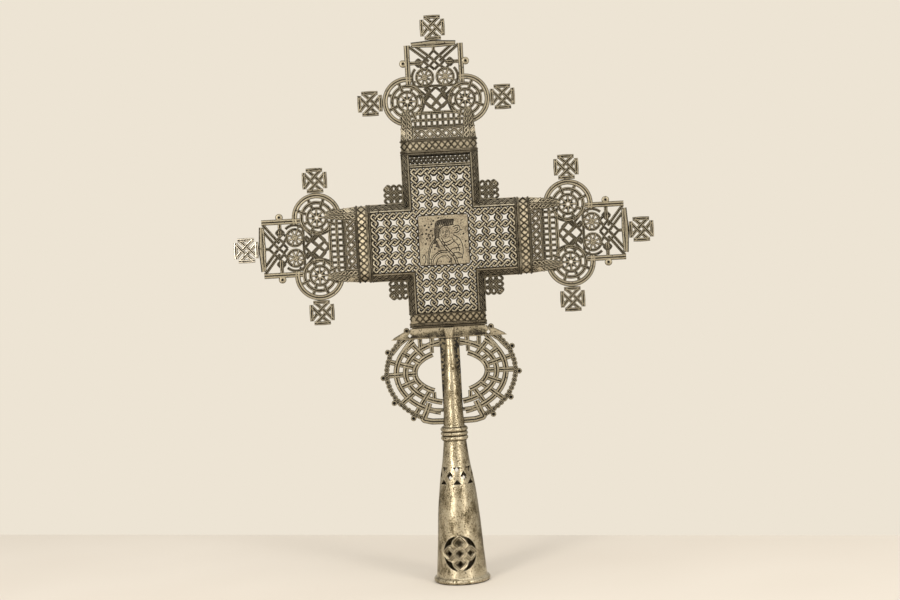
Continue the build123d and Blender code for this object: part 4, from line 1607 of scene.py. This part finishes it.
@dataclass
class Staff:
    """Stem, knop, socket and foot: everything that is round about the staff's axis."""

    stem_low: float = 137.0
    stem_high: float = 224.0
    stem_r: float = 10.4
    stem_bow: float = 0.35
    tip_r: float = 4.0
    knop_low: float = 130.5
    knop_high: float = 143.0
    knop_r: float = 12.3
    wall: float = 1.8
    profile: tuple[Point, ...] = (
        (23.2, 6.0), (21.3, 30.0), (19.3, 60.0), (16.2, 90.0), (12.8, 110.0), (10.4, 130.5), (10.4, 137.0)
    )
    foot_r: float = 26.0
    foot_high: float = 6.0
    mouth_r: float = 20.5
    window: Point = (-1.2, 28.5)
    window_r: float = 16.3
    lobe: float = 9.8
    hole: float = 3.0
    knot_half: float = 5.9
    knot_proud: float = 0.1
    wall_r: float = 21.3
    lozenges: int = 7
    lozenge_z: float = 98.8

    def radius(self, height: float) -> float:
        """Outside radius of the socket at a height."""
        outs, ups = zip(*self.smooth_profile())
        return float(np.interp(height, ups, outs))

    def smooth_profile(self) -> Path:
        """Outside of the socket as a smooth line from the foot up."""
        return curve_through(self.profile, 8)

    def stem(self) -> None:
        """Tapered stem, solid and round; the spine runs up through it and shows at its sides."""
        low, wide = self.knop_high + 1.2, self.stem_r - 0.7
        taper = self.tip_r - self.stem_r + 0.7
        side = [(self.stem_r - 0.1, self.knop_high), (wide, low)]
        steps = 24
        for k in range(1, steps + 1):
            share = k / steps
            bow = self.stem_bow * sin(pi * share)
            side.append((wide + taper * share + bow, low + (self.stem_high - low) * share))
        outline = [(0, self.stem_low), (self.stem_r, self.stem_low), *side, (0, self.stem_high)]
        install(smoothed(dented(turned("stem", outline, 72), 0.25, 9), 40), "stem", SHEET)

    def knop(self) -> None:
        """Collar of three rolled rings."""
        outline = [(self.stem_r, self.knop_low), (self.stem_r + 1.1, self.knop_low)]
        high = self.knop_high - self.knop_low
        for share, size in ((0.18, 2.0), (0.5, 1.7), (0.82, 2.0)):
            centre = (self.knop_r - size + 0.3, self.knop_low + share * high)
            outline += arc(centre, size, -75, 75, 28)
        outline += [(self.stem_r + 1.1, self.knop_high), (self.stem_r, self.knop_high)]
        install(smoothed(dented(turned("knop", outline, 80), 0.35, 4.5), 60), "knop", SHEET)

    def foot(self) -> None:
        """Rolled rim that the socket stands on."""
        inner, outer, high = self.mouth_r, self.foot_r, self.foot_high
        lip = arc((outer - 2.2, 2.4), (2.2, 2.4), -90, 60, 40)
        outline = [(inner, 0), *lip, (23.9, 4.9), (23.3, high), (21.3, high), (inner, high - 0.6)]
        install(smoothed(turned("rim", outline, 96), 50), "foot_rim", SHEET)

    def cutters(self) -> list[Mesh]:
        """Solids that pierce the socket: the window's five holes and four crescents, and the lozenge row."""
        near, far = 6.0, 40.0
        made = []
        for middle in ((0, 0), (self.lobe, 0), (-self.lobe, 0), (0, self.lobe), (0, -self.lobe)):
            hole = plate("hole", self.wrapped(diamond(middle, self.hole)), near, far)
            made.append(moved(hole, facing(Side.FRONT)))
        crescent = [*arc((0, 0), self.window_r, 9, 81, 72), (6.6, 11.6), (7.9, 7.9), (11.6, 6.6)]
        for turn in (0, 90, 180, 270):
            outline = self.wrapped(swung(crescent, turn))
            made.append(moved(plate("crescent", outline, near, far), facing(Side.FRONT)))
        shapes = (
            (0.0, 0.5, [(0, -4.4), (3.2, 0), (0, 4.4), (-3.2, 0)]),
            (6.4, 0.0, [(0, -3.2), (3.9, 1.4), (-3.9, 1.4)]),
            (-6.4, 0.0, [(0, 3.2), (-4.2, -1.5), (4.2, -1.5)]),
        )
        for k in range(self.lozenges):
            for lift, turn, shape in shapes:
                about = Matrix.Rotation(tau / self.lozenges * (k + turn), 4, "Z")
                hole = plate("lozenge", shape, 4, 30)
                made.append(moved(hole, about @ facing(Side.FRONT, self.lozenge_z + lift)))
        return made

    def wrapped(self, path: Path) -> Path:
        """Outline on the unrolled socket, about the window's middle, as it looks from straight in front."""
        across, up = self.window
        return [(self.wall_r * sin((across + x) / self.wall_r), up + y) for x, y in path]

    def on_cone(self, point: Vector) -> Vector:
        """Lays a point of a flat pattern about the window's middle onto the socket's outside."""
        ((across, height),) = self.wrapped([(point.x, point.y)])
        radius = self.radius(height)
        deep = sqrt(max(radius**2 - across**2, 0.1))
        return Vector((across, -deep, height)) + Vector((across, -deep, 1.6)).normalized() * point.z

    def window_knot(self) -> Mesh:
        """Raised wires round the window's holes, hooked through one another."""
        knot = Weave(rise=0.45, reach=2.6, step=0.7)
        wire = Section(3.0, 2.6, 0.3)
        for middle in ((self.lobe, 0), (-self.lobe, 0), (0, self.lobe), (0, -self.lobe)):
            knot.add(diamond(middle, self.knot_half), wire, closed=True, bend=1.5)
        knot.add(diamond((0, 0), self.knot_half), wire, closed=True, bend=1.6)
        wires = knot.cast("knot")
        mark_dirt_and_shade(wires, 0.5 * np.resize(wire.dirt(), len(wires.data.vertices)))
        proud = Vector((0, 0, self.knot_proud))
        return smoothed(reshaped(wires, lambda p: self.on_cone(p + proud)))

    def socket(self) -> None:
        """Conical socket with its holes and its raised knot."""
        outside = self.smooth_profile()
        inside = [(r - self.wall, z) for r, z in reversed(outside)]
        cone = dented(turned("socket", [*outside, *inside], 120), 0.3, 14)
        cone = smoothed(pierced(cone, self.cutters()), 35)
        install(joined([cone, self.window_knot()], "socket"), "socket", SHEET)

    def make(self) -> None:
        """Builds the four round pieces."""
        self.stem()
        self.knop()
        self.socket()
        self.foot()


# ---------------------------------------------------------------- studio
@dataclass
class Studio:
    """Plain pale floor, a cream surround, three soft lights and the camera."""

    backdrop: str = "#EDE4D4"
    sky: Stops = ((0.0, "#6B675F"), (0.45, "#ADA89E"), (0.62, "#DFDAD0"), (1.0, "#FFFCF6"))
    sky_power: float = 0.9
    floor: Stops = ((0.3, "#D3CBC0"), (0.7, "#D9D2C8"))
    floor_edge: float = 0.216
    floor_turn: float = -17.0
    lamps: tuple[tuple[str, tuple[float, float, float], Point, float], ...] = (
        ("left", (-1.0, -1.6, 0.7), (0.5, 1.6), 24),
        ("right", (1.1, -1.5, 0.7), (0.4, 1.6), 16),
        ("overhead", (0.1, -0.3, 1.7), (1.2, 1.2), 8),
    )
    lamp_colour: str = "#FFFAF2"
    lit_point: tuple[float, float, float] = (0.0, 0.0, 0.28)
    eye: tuple[float, float, float] = (0.0, -1.48, 0.315)
    lens: float = 64.4
    pitch: float = 2.15
    roll: float = 3.15
    yaw: float = -0.1

    def surround(self) -> None:
        """Even cream where it is seen, and a soft fall from bright above to dim below where it lights."""
        world = bpy.data.worlds.new("surround")
        bpy.context.scene.world = world
        world.use_nodes = True
        tree = world.node_tree
        tree.nodes.clear()
        way = shader_node(tree, "ShaderNodeTexCoord").outputs["Generated"]
        up = shader_node(tree, "ShaderNodeSeparateXYZ", {"Vector": way}).outputs["Z"]
        level = shader_node(tree, "ShaderNodeMapRange", {"Value": up}, From_Min=-1.0).outputs["Result"]
        sky = shader_node(tree, RAMP, {"Fac": level}, self.sky).outputs["Color"]
        lit = shader_node(tree, "ShaderNodeBackground", {"Color": sky}, Strength=self.sky_power)
        seen = shader_node(tree, "ShaderNodeBackground", Color=linear(self.backdrop))
        ray = shader_node(tree, "ShaderNodeLightPath").outputs["Is Camera Ray"]
        shades = {"0": ray, "1": lit.outputs["Background"], "2": seen.outputs["Background"]}
        mixed = shader_node(tree, "ShaderNodeMixShader", shades)
        shader_node(tree, "ShaderNodeOutputWorld", {"Surface": mixed.outputs["Shader"]})

    def light(self, name: str, place: Vector, size: Point, power: float) -> None:
        """Adds a soft light of a width and a height in metres, which looks at the cross."""
        lamp = bpy.data.lights.new(name, "AREA")
        lamp.shape = "RECTANGLE"
        lamp.size, lamp.size_y = size
        lamp.energy = power
        lamp.color = linear(self.lamp_colour)[:3]
        holder = bpy.data.objects.new(name, lamp)
        bpy.context.collection.objects.link(holder)
        holder.location = place
        holder.rotation_euler = (Vector(self.lit_point) - place).to_track_quat("-Z", "Y").to_euler()

    def ground(self) -> None:
        """Adds the floor, whose far edge is the line behind the foot."""
        bpy.ops.mesh.primitive_plane_add(size=1)
        floor = bpy.context.object
        floor.name = "floor"
        wide, deep = 6.0, 3.2
        turn = Matrix.Rotation(radians(self.floor_turn), 4, "Z")
        place = turn @ Matrix.Translation((0, self.floor_edge - deep / 2, 0))
        floor.data.transform(place @ Matrix.Diagonal((wide, deep, 1, 1)))
        paper = bpy.data.materials.new("matt paper")
        paper.use_nodes = True
        tree = paper.node_tree
        shader = tree.nodes["Principled BSDF"]
        shader.inputs["Roughness"].default_value = 0.9
        place = shader_node(tree, "ShaderNodeTexCoord").outputs["Object"]
        folds = shader_node(tree, "ShaderNodeTexNoise", {"Vector": place}, Scale=3.0, Detail=2.0)
        tone = shader_node(tree, RAMP, {"Fac": folds.outputs["Fac"]}, self.floor).outputs["Color"]
        tree.links.new(tone, shader.inputs["Base Color"])
        floor.data.materials.append(paper)

    def camera(self) -> None:
        """Adds the camera, tipped down and rolled a little."""
        lens = bpy.data.cameras.new("camera")
        lens.lens = self.lens
        lens.sensor_width = 36.0
        lens.clip_start = 0.05
        camera = bpy.data.objects.new("camera", lens)
        bpy.context.collection.objects.link(camera)
        camera.matrix_world = Matrix.Translation(self.eye)
        for angle, axis in ((self.yaw, "Z"), (90 - self.pitch, "X"), (-self.roll, "Z")):
            camera.matrix_world @= Matrix.Rotation(radians(angle), 4, axis)
        bpy.context.scene.camera = camera

    def set_up(self) -> None:
        """Builds the whole studio."""
        bpy.context.scene.view_settings.view_transform = "Standard"
        self.surround()
        self.ground()
        for name, place, size, power in self.lamps:
            self.light(name, Vector(place), size, power)
        self.camera()


def main() -> None:
    """Loads the frame, builds every piece round it and sets up the studio."""
    logging.basicConfig(level=logging.INFO, format="%(message)s")
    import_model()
    body = (Plaque(), LatticePanel(), EdgeStrips(), Band(), Slope())
    openwork = (Terminal(), CornerKnot(), Ring(), LowerPlate())
    for part in (*body, *openwork, Staff()):
        part.make()
        log.info("made %s", type(part).__name__)
    Studio().set_up()


if __name__ == "__main__":
    main()
